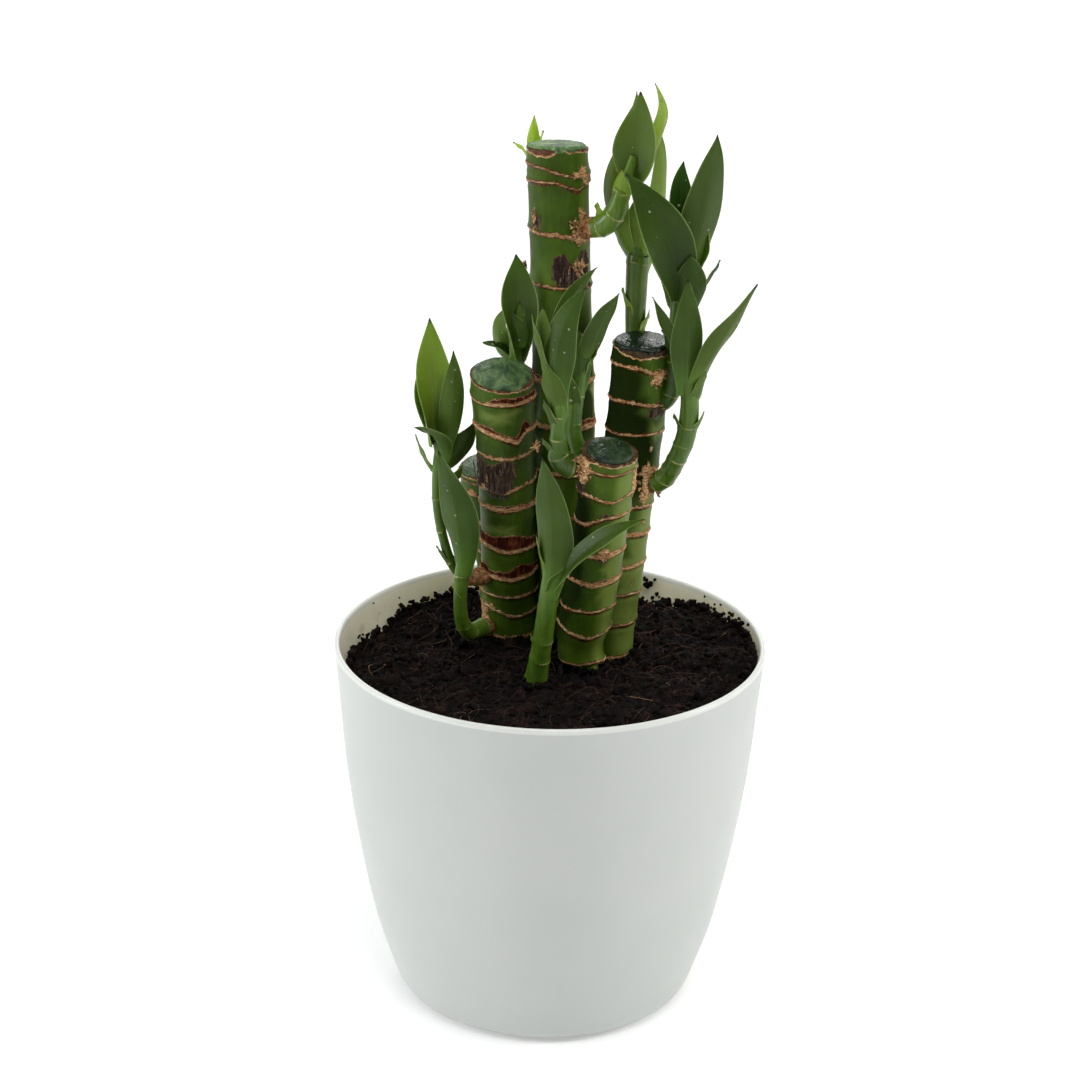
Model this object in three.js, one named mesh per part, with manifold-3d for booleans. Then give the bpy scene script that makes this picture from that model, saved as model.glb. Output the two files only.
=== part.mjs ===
// A potted lucky bamboo: five cut canes with waxed tops and eleven leafy shoots in a round pot.
// Millimetres, +Z up. The origin is the middle of the pot's foot, on its axis.
import * as THREE from "three";
import { mergeVertices } from "three/addons/utils/BufferGeometryUtils.js";
import Module from "manifold-3d";

const wasm = await Module();
wasm.setup();

// Driving dimensions
const POT_RADIUS = 75;
const POT_HEIGHT = 131;
const POT_WALL = 2.2;
const POT_FLOOR = 3;
const POT_SIDES = 44;
const FOOT_HOLLOW = 0.8;
const FOOT_RING_WIDTH = 5;
const SOIL_LEVEL = 121;
const SOIL_SLOPE = 0.05;
const SOIL_BANK = 1;
const BANK_START = 30;
const SOIL_RINGS_IN_FROM_WALL = [0, 5, 16, 28, 40, 54];
const SOIL_SIDES = 28;
const GAP = 0.3;
const CANE_SIDES = 12;
const CANE_BURIED = 46;
const SOIL_COLLAR = 4;
const NODE_RIDGE = 0.45;
const NODE_HALF_WIDTH = 1.3;
const WAX_THICKNESS = 1.1;
const WAX_DOME = 0.7;
const WAX_INSET = 0.5;
const STEM_SIDES = 6;
const BLADE_THICKNESS = 0.7;
const TIP_WIDTH = 0.7;
const BROAD_BLADE = 9.2;
const BLADE_STEPS = 5;
const SHEATH_SHARE = 0.4;
const TIP_OPENING = 0.8;
const LARGEST_HALF_CURL = 2.2;

// Colours
const white = new THREE.MeshStandardMaterial({ color: 0xd7dedc, roughness: 0.45 });
const peat = new THREE.MeshStandardMaterial({ color: 0x241612, roughness: 0.95 });
const bark = new THREE.MeshStandardMaterial({ color: 0x4f7532, roughness: 0.5 });
const wax = new THREE.MeshStandardMaterial({ color: 0x23402c, roughness: 0.25 });
const leafGreen = new THREE.MeshStandardMaterial({ color: 0x3d6620, roughness: 0.4 });

// Outer radius of the pot at each height, from the foot to the lip
const POT_OUTLINE = [
  [45, 0],
  [49, 0.8],
  [52, 2.4],
  [53.5, 5],
  [55.6, 11],
  [57.4, 17],
  [59.7, 23],
  [62.7, 36],
  [65.8, 51],
  [69.1, 71],
  [71.7, 91],
  [73.2, 111],
  [POT_RADIUS, POT_HEIGHT - 0.9],
];

// Heaps and hollows of the soil: x, y, spread and height
const SOIL_HEAPS = [
  [-42, 52, 18, 3],
  [38, 58, 15, -2.2],
  [16, 4, 15, -3],
  [-4, -16, 8, -1],
];

// The canes. axis: points up the middle of the cane, from the soil to the cut. nodes: heights of the leaf
// scars above the soil. cut: the direction that the cut end faces. profile: radius at heights above the soil.
const CANES = {
  tall: {
    profile: [[0, 10.1]],
    axis: [[5.8, 33, 121], [3.4, 31.5, 197], [1.4, 29.5, 245], [-1.1, 27, 299.3]],
    nodes: [14, 32, 52, 80, 100, 131, 151, 167],
    cut: [0, 0.1, 1],
  },
  left: {
    profile: [[0, 9.8], [75, 9.9], [92, 10.8]],
    axis: [[-14.8, 29.5, 121], [-15, 26, 144], [-15.2, 23, 162.5], [-16.6, 17, 194.5], [-18.2, 12, 223.3]],
    nodes: [3, 11.5, 19.5, 28, 39.5, 54, 64, 83, 96],
    cut: [0.03, -0.25, 1],
  },
  front: {
    profile: [[0, 3.2], [5, 3.2], [6.5, 7.4], [14, 7.9], [20, 8.9]],
    axis: [[14.9, -3.5, 119], [11, -4, 127], [11.6, -5.5, 140], [12.9, -7.5, 149],
      [15.8, -12, 173], [18.7, -20, 207.7]],
    nodes: [8.5, 20, 31, 41, 52, 63, 73, 83],
    cut: [0.12, -0.25, 1],
  },
  right: {
    profile: [[0, 9.8], [90, 9.7]],
    axis: [[19.6, 15.5, 121], [22.6, 14, 154], [24.7, 13, 177], [28.3, 11, 214], [29.1, 10, 236.4]],
    nodes: [3, 14.5, 26.5, 38, 48.5, 67, 86, 98, 109],
    cut: [0, -0.04, 1],
  },
  short: {
    profile: [[0, 9.8]],
    axis: [[-14.5, 52.5, 121], [-18.5, 50, 145.4], [-23.8, 45, 178.3]],
    nodes: [12, 27, 40, 51],
    cut: [-0.12, -0.12, 1],
  },
};

// The leafy shoots. stem: [x, y, z, radius] from inside the cane or the soil to the last leaves.
// leaves: base, mid and tip are points of the middle line, width is the widest spread, cup is the radius that
// the blade is curled to across, sheath its curl round the stem, and out is where its back faces.
const SHOOTS = {
  tall_side_shoot: {
    cane: "tall",
    stem: [[7, 25, 273, 3.2], [12.5, 21, 273.5, 3.6], [16.5, 18.5, 276, 4], [19.5, 17, 281, 3.5],
      [21, 17, 287, 2.8], [23, 17.5, 293, 2], [24.5, 18, 299, 1.2]],
    leaves: [
      { base: [23, 18, 286], mid: [25, 18, 303], tip: [26, 16.5, 321],
        width: 17.5, cup: 9, out: [0.1, 1, 0] },
      { base: [25, 20, 290], mid: [34, 21, 307], tip: [31, 21.5, 323],
        width: 9.5, cup: 5, out: [1, -0.6, 0] },
      { base: [24, 21, 290], mid: [24.5, 22.5, 305], tip: [25, 23, 320],
        width: 7, cup: 5, out: [-0.4, 1, 0] },
      { base: [20, 15.5, 281], tip: [20.8, 14.6, 295],
        width: 8, cup: 3.4, sheath: 3.4, out: [-0.5, -1, 0] },
      { base: [14, 18.5, 275], tip: [12.8, 19.6, 282.5],
        width: 6, cup: 3.6, sheath: 3.8, out: [-1, -0.4, 0.6] },
    ],
  },
  tall_crown_shoot: {
    cane: "tall",
    stem: [[-3, 32, 283, 2.4], [-7, 37, 285.5, 2.6], [-8.8, 39.5, 290, 2.2], [-9, 40.5, 295, 1.3]],
    leaves: [
      { base: [-9, 40, 289], mid: [-9.2, 41.5, 298], tip: [-9, 42, 306.5],
        width: 5, cup: 3, out: [0, -1, 0] },
      { base: [-8, 41, 289], mid: [-6.8, 42, 295], tip: [-6, 41.5, 301.5],
        width: 4, cup: 2.6, out: [1, 0.2, 0] },
      { base: [-10, 40, 289], mid: [-12.5, 40.5, 294], tip: [-16, 40, 297.5],
        width: 4, cup: 2.6, out: [-1, 0, -0.4] },
    ],
  },
  right_back_shoot: {
    cane: "right",
    stem: [[28.3, 15, 225, 3], [27.5, 21.5, 229, 3.5], [27, 25, 238, 3.5], [27, 25.5, 251, 3.7],
      [27.2, 25.5, 263, 3.6], [27.5, 25.5, 272, 3], [28, 25.5, 280, 1.6]],
    leaves: [
      { base: [25, 25, 262], mid: [17.5, 25.5, 284], tip: [24, 26.5, 306],
        width: 14, cup: 9, out: [-0.8, -0.6, 0] },
      { base: [29.5, 25.5, 256], mid: [34.4, 27, 282], tip: [33, 27.5, 306],
        width: 13, cup: 9, out: [0.8, -0.6, 0] },
      { base: [27.5, 22.8, 263], tip: [26.5, 22.5, 285],
        width: 11, cup: 6, sheath: 3.9, out: [0, -1, 0] },
      { base: [25.5, 24.6, 239], tip: [22.4, 24.4, 251.5],
        width: 7, cup: 4, sheath: 3.8, out: [-1, -0.3, 0] },
      { base: [28.5, 24.4, 232.5], tip: [31.8, 24, 244],
        width: 7, cup: 4, sheath: 3.8, out: [1, -0.3, 0] },
    ],
  },
  right_upper_shoot: {
    cane: "right",
    stem: [[32.5, 9.5, 215.5, 2.8], [36.8, 7, 216.5, 3], [39.6, 5.4, 222, 2.8], [40.4, 5.2, 235, 2.6],
      [40.8, 5.6, 249, 2.8], [42, 7.5, 260, 2.5], [44, 8.5, 268, 1.6]],
    leaves: [
      { base: [43.5, 10, 265], mid: [40.5, 12, 284], tip: [41, 12.5, 299],
        width: 10, cup: 5.5, out: [-0.2, 1, 0] },
      { base: [44.5, 7.5, 261], mid: [48.6, 8.5, 286], tip: [51.6, 8.5, 309],
        width: 15.5, cup: 10, out: [0.25, -1, 0] },
      { base: [41.5, 4, 256], mid: [35, 1.5, 277], tip: [21.5, 2, 297],
        width: 18, cup: 13, out: [-0.3, 1, 0] },
      { base: [43, 3, 248], mid: [44.3, 0.6, 260], tip: [44, 1, 270],
        width: 13, cup: 6, sheath: 4, out: [0, -1, 0] },
      { base: [42.6, 6.2, 249.5], mid: [49.6, 6.4, 257.5], tip: [54, 6, 267.2],
        width: 6, cup: 3.2, out: [0.7, -0.4, -0.7] },
      { base: [39, 8.5, 247], mid: [35.6, 9.3, 256], tip: [32.8, 9.5, 266.5],
        width: 5.5, cup: 3, out: [-0.9, -0.4, 0] },
      { base: [40.2, 4.2, 224], mid: [38.8, 3, 234], tip: [35.2, 2.4, 243.5],
        width: 5, cup: 3, out: [-0.8, -0.6, 0] },
      { base: [45.5, 10, 260], mid: [48.6, 11.5, 268], tip: [50, 12, 278],
        width: 7, cup: 4, out: [0.7, 0.7, 0] },
    ],
  },
  right_lower_shoot: {
    cane: "right",
    stem: [[31, 9.5, 187, 3.2], [35, 7, 187.6, 3.6], [38.4, 3.6, 190.6, 3.5], [42, 0, 199, 3.3],
      [44.6, -2, 208, 3.4], [45.4, -3, 219, 3.2], [44.2, -3.8, 228, 2.6], [42.5, -4, 236, 1.4]],
    leaves: [
      { base: [43.8, -5.5, 223], mid: [44, -7, 244], tip: [43, -5.5, 263.5],
        width: 12.5, cup: 7, out: [0, -1, 0] },
      { base: [46, -5, 225], mid: [54.7, -6.8, 241.8], tip: [66, -8, 263],
        width: 12, cup: 5, out: [0.6, -0.8, -0.3] },
      { base: [42.5, -3.5, 230], mid: [37.5, -3.6, 243], tip: [31.6, -3, 256.5],
        width: 8, cup: 4, out: [-0.8, -0.6, 0] },
      { base: [46.6, -3.8, 217], tip: [50, -5, 232],
        width: 8, cup: 4.4, sheath: 3.6, out: [0.8, -0.6, 0] },
      { base: [44.6, -2, 206], tip: [40, -3.2, 216],
        width: 7, cup: 3.8, sheath: 3.5, out: [-1, -0.3, 0] },
      { base: [46.4, -2.4, 207], tip: [50.4, -3.6, 217],
        width: 7, cup: 3.8, sheath: 3.5, out: [1, -0.3, 0] },
    ],
  },
  front_outer_shoot: {
    cane: "front",
    stem: [[12.5, -18, 200, 3.2], [8, -17.5, 201.5, 3.8], [4.5, -18.8, 202.5, 4], [1.8, -20, 206, 3.6],
      [1.5, -20.5, 214, 2.7], [2, -20.5, 223, 2.8], [1.2, -20, 232, 2], [0, -19.5, 240, 1.2]],
    leaves: [
      { base: [1.8, -22, 220], mid: [-1, -23.4, 230], tip: [-3, -22.6, 238.5],
        width: 9, cup: 4.6, out: [-0.4, -1, 0] },
      { base: [1.5, -22, 222], mid: [0.4, -23, 245], tip: [9.6, -21, 265],
        width: 12.5, cup: 7, out: [-0.1, -1, 0] },
      { base: [-1, -18.6, 233], mid: [3.4, -17, 255], tip: [13, -16, 270],
        width: 8.5, cup: 3.6, out: [0.5, 0.9, -0.3] },
      { base: [-1, -20, 229], mid: [-6.2, -19.6, 243], tip: [-8, -19, 255],
        width: 6, cup: 3, out: [-0.9, -0.4, 0] },
      { base: [-0.6, -20, 229], mid: [-4, -19, 244], tip: [-4.6, -18.5, 257],
        width: 9, cup: 5, out: [-0.6, -0.8, 0] },
      { base: [0.6, -20.6, 213], tip: [-3.8, -21.6, 226],
        width: 7.5, cup: 3.4, sheath: 3, out: [-1, -0.5, 0] },
      { base: [1, -20, 204], tip: [-4, -21.4, 212.5],
        width: 6, cup: 3.4, sheath: 3.8, out: [-1, -0.5, 0] },
    ],
  },
  front_inner_shoot: {
    cane: "front",
    stem: [[13, -13, 198.5, 2.8], [9.6, -10.2, 202.5, 2.8], [6.6, -10.5, 211, 2.6], [7, -10.5, 222, 2.5],
      [8.6, -10.5, 232, 2], [9.5, -10.5, 238, 1.2]],
    leaves: [
      { base: [9, -11.4, 231], mid: [14, -12.4, 247.5], tip: [20.5, -13, 260.5],
        width: 9, cup: 5, out: [0.5, -0.9, 0] },
      { base: [8, -11.4, 224], mid: [8.2, -12.6, 236], tip: [7.5, -11, 247],
        width: 8, cup: 4.4, out: [0, -1, 0] },
      { base: [6.8, -11.4, 216], mid: [5, -13.2, 225], tip: [4.6, -13.4, 233],
        width: 7.5, cup: 4, out: [-0.4, -1, 0] },
      { base: [9.4, -10.4, 229], mid: [12, -10, 235], tip: [14.4, -9.6, 241],
        width: 5.5, cup: 3, out: [1, 0, 0] },
    ],
  },
  left_back_shoot: {
    cane: "left",
    stem: [[-16.6, 19.5, 213, 2.8], [-15, 25, 216, 3], [-13.6, 26.6, 223, 2.8], [-13, 24.8, 231, 2.5],
      [-12.6, 23.5, 239, 1.4]],
    leaves: [
      { base: [-12.6, 24.6, 229], mid: [-11.4, 21.4, 246], tip: [-14.3, 21, 263.5],
        width: 16, cup: 7.5, out: [0.1, 1, 0] },
      { base: [-12.6, 22, 230], mid: [-13.4, 20.4, 236.5], tip: [-15.8, 20.2, 243.5],
        width: 8, cup: 4.4, out: [-0.2, -1, 0] },
      { base: [-14.8, 27, 224], mid: [-20, 28.4, 232], tip: [-17.4, 29, 242],
        width: 10, cup: 6, out: [-0.7, 0.7, 0] },
      { base: [-14.2, 25.4, 225.5], mid: [-19.6, 25, 228.6], tip: [-25.2, 24, 231.2],
        width: 7, cup: 3.6, out: [-0.3, 0.2, -1] },
      { base: [-11.6, 22.4, 231], mid: [-11.6, 20.6, 239], tip: [-12.8, 20, 247],
        width: 6, cup: 3.4, out: [0.3, -1, 0] },
    ],
  },
  left_foot_shoot: {
    cane: "left",
    stem: [[-19, 25.5, 126, 3], [-24, 20.5, 126, 3.4], [-28.5, 14.5, 127, 3], [-31, 10.5, 132.5, 2.6],
      [-31.8, 9, 141, 2.3], [-31.4, 9, 149, 2.5], [-31.2, 9, 156, 2], [-31.4, 9, 163, 1.2]],
    leaves: [
      { base: [-31.3, 6.5, 151], mid: [-32.8, 6, 174], tip: [-39.4, 5, 198],
        width: 16, cup: 9, sheath: 2.7, out: [0, -1, 0] },
      { base: [-30.2, 10.2, 150], mid: [-27.4, 11.4, 159], tip: [-26.8, 11.6, 168],
        width: 8, cup: 4.4, out: [0.8, -0.5, 0] },
      { base: [-31.6, 9.2, 138], tip: [-34.2, 8.4, 148],
        width: 6, cup: 3, sheath: 2.7, out: [-1, -0.4, 0] },
    ],
  },
  left_side_shoot: {
    cane: "left",
    stem: [[-20, 22.4, 146, 3], [-26.5, 18.8, 146, 3.2], [-31, 17.2, 147, 2.1], [-35.4, 17, 152.5, 1.8],
      [-38.3, 17, 162, 1.7], [-39.9, 17, 171, 1.8], [-40.4, 17.4, 180, 1.9], [-40, 18.4, 189, 2],
      [-39.6, 19, 197, 1.4]],
    leaves: [
      { base: [-40.4, 20, 195], mid: [-40.7, 22.4, 217], tip: [-43.6, 24, 239.5],
        width: 14.5, cup: 8, out: [-0.1, 1, 0] },
      { base: [-41.4, 21.4, 197], mid: [-46, 24.6, 212], tip: [-44.6, 26, 228],
        width: 9, cup: 6, out: [-0.6, 0.8, 0] },
      { base: [-38, 17.6, 193], mid: [-35.2, 16.2, 212], tip: [-35, 16, 230.5],
        width: 10, cup: 4.6, out: [0.1, -1, 0] },
      { base: [-38.4, 15.8, 190], mid: [-41, 13.4, 199.5], tip: [-48.2, 13.6, 203],
        width: 10, cup: 6, out: [-0.3, -0.6, -0.8] },
      { base: [-41, 18.4, 184], mid: [-45.4, 19.4, 190], tip: [-48, 20, 198.5],
        width: 5, cup: 3, out: [-0.9, -0.3, 0] },
      { base: [-38.4, 19.4, 187], mid: [-32, 20.6, 194], tip: [-27.4, 22, 203.5],
        width: 9.4, cup: 4, out: [0.8, -0.5, -0.4] },
      { base: [-39, 16.6, 177], mid: [-34.6, 16, 182.5], tip: [-31.4, 16, 190],
        width: 6, cup: 3.4, out: [0.7, -0.7, 0] },
      { base: [-36, 16.6, 151], tip: [-40.4, 15.6, 159],
        width: 4.6, cup: 2.6, sheath: 2.1, out: [-1, -0.4, 0] },
    ],
  },
  soil_shoot: {
    cane: null,
    stem: [[-6, -12, 98, 3], [-4.8, -13.8, 118, 4.2], [-4, -16, 126, 3.8], [-3, -18, 134, 3.5],
      [-2, -19.8, 143, 3.4], [-1.2, -21, 151, 3.3], [-0.8, -21.8, 159, 2.8], [-0.8, -22, 167, 1.6]],
    leaves: [
      { base: [-1.1, -24.4, 156], mid: [-0.6, -24.8, 182], tip: [-4, -23, 206.5],
        width: 14.5, cup: 8, sheath: 3.3, out: [0, -1, 0] },
      { base: [1, -23, 160], mid: [15, -30, 178.5], tip: [30.5, -33, 189],
        width: 9.5, cup: 5, out: [0.3, 0.6, -1] },
      { base: [0, -22.4, 155], tip: [5, -24.4, 169.5],
        width: 9, cup: 4.4, sheath: 3.4, out: [0.8, -0.7, 0] },
      { base: [-2, -21.2, 161], mid: [-4, -20.6, 169.5], tip: [-5.6, -20.4, 178],
        width: 5, cup: 3, out: [-1, 0, 0] },
      { base: [-3.2, -17.6, 130], tip: [-6.6, -18.2, 140.5],
        width: 6.5, cup: 4, sheath: 3.8, out: [-1, -0.3, 0] },
      { base: [-1.4, -20.2, 145], tip: [3, -21.4, 155],
        width: 6.5, cup: 4, sheath: 3.6, out: [1, -0.3, 0] },
    ],
  },
};

const vec = (p) => new THREE.Vector3(p[0], p[1], p[2]);

// A closed geometry from corner points and triangles, turned to face outwards.
function closedGeometry(points, triangles) {
  const at = (i) => points[i];
  const volume = triangles.reduce(
    (sum, [a, b, c]) => sum + at(a).dot(new THREE.Vector3().crossVectors(at(b), at(c))),
    0,
  );
  const index = triangles.flatMap(([a, b, c]) => (volume < 0 ? [a, c, b] : [a, b, c]));
  const geometry = new THREE.BufferGeometry();
  geometry.setAttribute("position", new THREE.Float32BufferAttribute(points.flatMap((p) => p.toArray()), 3));
  return geometry.setIndex(index);
}

// A solid through closed rings of equal count, capped by a fan at each end.
function loft(rings) {
  const count = rings[0].length;
  const points = rings.flat();
  const triangles = [];
  for (let k = 0; k + 1 < rings.length; k++)
    for (let i = 0; i < count; i++) {
      const next = (i + 1) % count;
      const [a, b] = [k * count + i, k * count + next];
      triangles.push([a, b, b + count], [a, b + count, a + count]);
    }
  const caps = [[rings[0], 0, true], [rings.at(-1), (rings.length - 1) * count, false]];
  for (const [ring, first, flipped] of caps) {
    const middle = ring.reduce((sum, p) => sum.add(p), new THREE.Vector3()).divideScalar(count);
    const centre = points.push(middle) - 1;
    for (let i = 0; i < count; i++) {
      const [a, b] = [first + i, first + ((i + 1) % count)];
      triangles.push(flipped ? [centre, b, a] : [centre, a, b]);
    }
  }
  return closedGeometry(points, triangles);
}

function toSolid(geometry) {
  const bare = geometry.clone();
  bare.deleteAttribute("normal");
  bare.deleteAttribute("uv");
  const merged = mergeVertices(bare, 1e-4);
  return new wasm.Manifold(
    new wasm.Mesh({
      numProp: 3,
      vertProperties: merged.attributes.position.array,
      triVerts: new Uint32Array(merged.index.array),
    }),
  );
}

function toGeometry(solid) {
  const mesh = solid.getMesh();
  const geometry = new THREE.BufferGeometry();
  geometry.setAttribute("position", new THREE.Float32BufferAttribute(mesh.vertProperties, 3));
  geometry.setIndex([...mesh.triVerts]);
  geometry.computeVertexNormals();
  return geometry;
}

function named(name, geometry, material) {
  const mesh = new THREE.Mesh(geometry, material);
  mesh.name = name;
  return mesh;
}

// Pot
function potRadius(height) {
  const above = POT_OUTLINE.findIndex(([, z]) => z >= height);
  if (above < 1) return above === 0 ? POT_OUTLINE[0][0] : POT_RADIUS;
  const [[r0, z0], [r1, z1]] = [POT_OUTLINE[above - 1], POT_OUTLINE[above]];
  return r0 + ((r1 - r0) * (height - z0)) / (z1 - z0);
}

function innerOutline(inset, top) {
  const heights = [POT_FLOOR + 1.5, 11, 23, 51, 91].filter((z) => z < top - 2);
  return [...heights, top].map((z) => [potRadius(z) - POT_WALL - inset, z]);
}

function pot() {
  const ringInside = POT_OUTLINE[0][0] - FOOT_RING_WIDTH;
  const inner = innerOutline(0, POT_HEIGHT - 0.6);
  const profile = [
    [0, FOOT_HOLLOW],
    [ringInside - 1, FOOT_HOLLOW],
    [ringInside, 0],
    ...POT_OUTLINE,
    [POT_RADIUS - 0.5, POT_HEIGHT],
    [POT_RADIUS - POT_WALL + 0.4, POT_HEIGHT],
    ...inner.reverse(),
    [inner.at(-1)[0] - 2.5, POT_FLOOR],
    [0, POT_FLOOR],
  ].map(([r, z]) => new THREE.Vector2(r, z));
  return new THREE.LatheGeometry(profile, POT_SIDES).rotateX(Math.PI / 2);
}

// Canes
// A point on the cane's axis at a height above its soil point. Below the soil it goes straight down.
function axisAt(cane, height) {
  const points = cane.axis;
  const z = points[0][2] + height;
  if (height < 0) return new THREE.Vector3(points[0][0], points[0][1], z);
  const above = points.findIndex((p) => p[2] >= z && p[2] > points[0][2]);
  const [a, b] = [vec(points[above - 1]), vec(points[above])];
  return a.lerp(b, (z - a.z) / (b.z - a.z));
}

function caneRadius(cane, height) {
  const above = cane.profile.findIndex(([h]) => h > height);
  if (above < 1) return cane.profile.at(above)[1];
  const [[h0, r0], [h1, r1]] = [cane.profile[above - 1], cane.profile[above]];
  return THREE.MathUtils.mapLinear(height, h0, h1, r0, r1);
}

function caneStations(cane) {
  const buried = cane.profile[0][1];
  const stations = [
    [-CANE_BURIED, buried],
    [-SOIL_COLLAR, buried],
  ];
  for (const h of cane.nodes)
    for (const [step, ridge] of [[-NODE_HALF_WIDTH, 0], [0, NODE_RIDGE], [NODE_HALF_WIDTH, 0]])
      stations.push([h + step, caneRadius(cane, h + step) + ridge]);
  return stations;
}

// The cane as a solid, grown outwards by extra where it cuts its seat in a neighbour.
function caneGeometry(cane, extra = 0) {
  const lean = vec(cane.axis.at(-1)).sub(vec(cane.axis[0])).normalize();
  const side = new THREE.Vector3(0, 1, 0).cross(lean).normalize();
  const back = new THREE.Vector3().crossVectors(lean, side);
  const cut = vec(cane.cut).normalize();
  const spoke = (i) => {
    const a = (2 * Math.PI * i) / CANE_SIDES;
    return side.clone().multiplyScalar(Math.cos(a)).addScaledVector(back, Math.sin(a));
  };
  const rings = caneStations(cane).map(([h, r]) =>
    Array.from({ length: CANE_SIDES }, (_, i) => axisAt(cane, h).addScaledVector(spoke(i), r + extra)),
  );
  const top = vec(cane.axis.at(-1)).addScaledVector(lean, extra);
  rings.push(
    Array.from({ length: CANE_SIDES }, (_, i) => {
      const out = spoke(i).multiplyScalar(cane.profile.at(-1)[1] + extra);
      return top.clone().add(out).addScaledVector(lean, -out.dot(cut) / lean.dot(cut));
    }),
  );
  return loft(rings);
}

// The wax poured over the cut end: a thin ragged disc with a low dome.
function waxGeometry(cane, phase) {
  const cut = vec(cane.cut).normalize();
  const side = new THREE.Vector3(0, 1, 0).cross(cut).normalize();
  const back = new THREE.Vector3().crossVectors(cut, side);
  const middle = vec(cane.axis.at(-1));
  const ring = (share, lift) =>
    Array.from({ length: CANE_SIDES }, (_, i) => {
      const a = (2 * Math.PI * i) / CANE_SIDES;
      const ragged = 1 + 0.025 * Math.sin(3 * a + phase) + 0.02 * Math.sin(5 * a + 2 * phase);
      const r = (cane.profile.at(-1)[1] - WAX_INSET) * share * ragged;
      return middle
        .clone()
        .addScaledVector(side, r * Math.cos(a))
        .addScaledVector(back, r * Math.sin(a))
        .addScaledVector(cut, lift);
    });
  return loft([
    ring(0.97, GAP),
    ring(1, GAP + WAX_THICKNESS * 0.6),
    ring(0.9, GAP + WAX_THICKNESS),
    ring(0.5, GAP + WAX_THICKNESS + WAX_DOME),
  ]);
}

// Soil
function soilHeight(x, y) {
  const heaps = 1.2 * Math.sin(x / 11 + 1) * Math.cos(y / 13) + 0.7 * Math.sin((x + 1.4 * y) / 7);
  const bank = SOIL_BANK * Math.max(0, x / BANK_START - 1) ** 2;
  const humps = SOIL_HEAPS.reduce(
    (sum, [hx, hy, reach, rise]) => sum + rise * Math.exp(-((x - hx) ** 2 + (y - hy) ** 2) / reach ** 2),
    0,
  );
  return SOIL_LEVEL + SOIL_SLOPE * x + bank + heaps + humps;
}

function soilGeometry() {
  const wallAt = innerOutline(GAP, SOIL_LEVEL);
  const level = (radius, z) =>
    Array.from({ length: SOIL_SIDES }, (_, i) => {
      const a = (2 * Math.PI * i) / SOIL_SIDES;
      const height = z ?? soilHeight(radius * Math.cos(a), radius * Math.sin(a));
      const r = Math.min(radius, potRadius(height) - POT_WALL - GAP);
      return new THREE.Vector3(r * Math.cos(a), r * Math.sin(a), height);
    });
  const edge = wallAt.at(-1)[0];
  const walls = wallAt.slice(0, -1).map(([r, z]) => level(r, z));
  const base = level(wallAt[0][0] - 2.5, POT_FLOOR + GAP);
  const surface = SOIL_RINGS_IN_FROM_WALL.map((inset) => level(edge - inset));
  return loft([base, ...walls, ...surface]);
}

// Shoots
function stemGeometry(stem, extra = 0) {
  const curve = new THREE.CatmullRomCurve3(stem.map(vec), false, "centripetal");
  const steps = stem.length - 1;
  const { normals, binormals } = curve.computeFrenetFrames(steps, false);
  const rings = [];
  for (let k = 0; k <= steps; k++) {
    const radius = stem[k][3] + extra;
    const middle = vec(stem[k]);
    const along = curve.getTangent(k / steps);
    const first = normals[k].clone().projectOnPlane(along).normalize();
    const second = binormals[k].clone().projectOnPlane(along).normalize();
    rings.push(
      Array.from({ length: STEM_SIDES }, (_, i) => {
        const a = (2 * Math.PI * i) / STEM_SIDES;
        return middle
          .clone()
          .addScaledVector(first, radius * Math.cos(a))
          .addScaledVector(second, radius * Math.sin(a));
      }),
    );
  }
  return loft(rings);
}

// Spread of a blade at t of its length, as a share of its full width: a clasping base, a broad middle and a
// drawn-out tip.
function spread(t) {
  const widest = 0.42;
  if (t < widest) return 0.62 + 0.38 * Math.sin((Math.PI / 2) * (t / widest));
  const s = (t - widest) / (1 - widest);
  return Math.cos((Math.PI / 2) * s) ** 1.15 * (1 - 0.12 * s);
}

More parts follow.
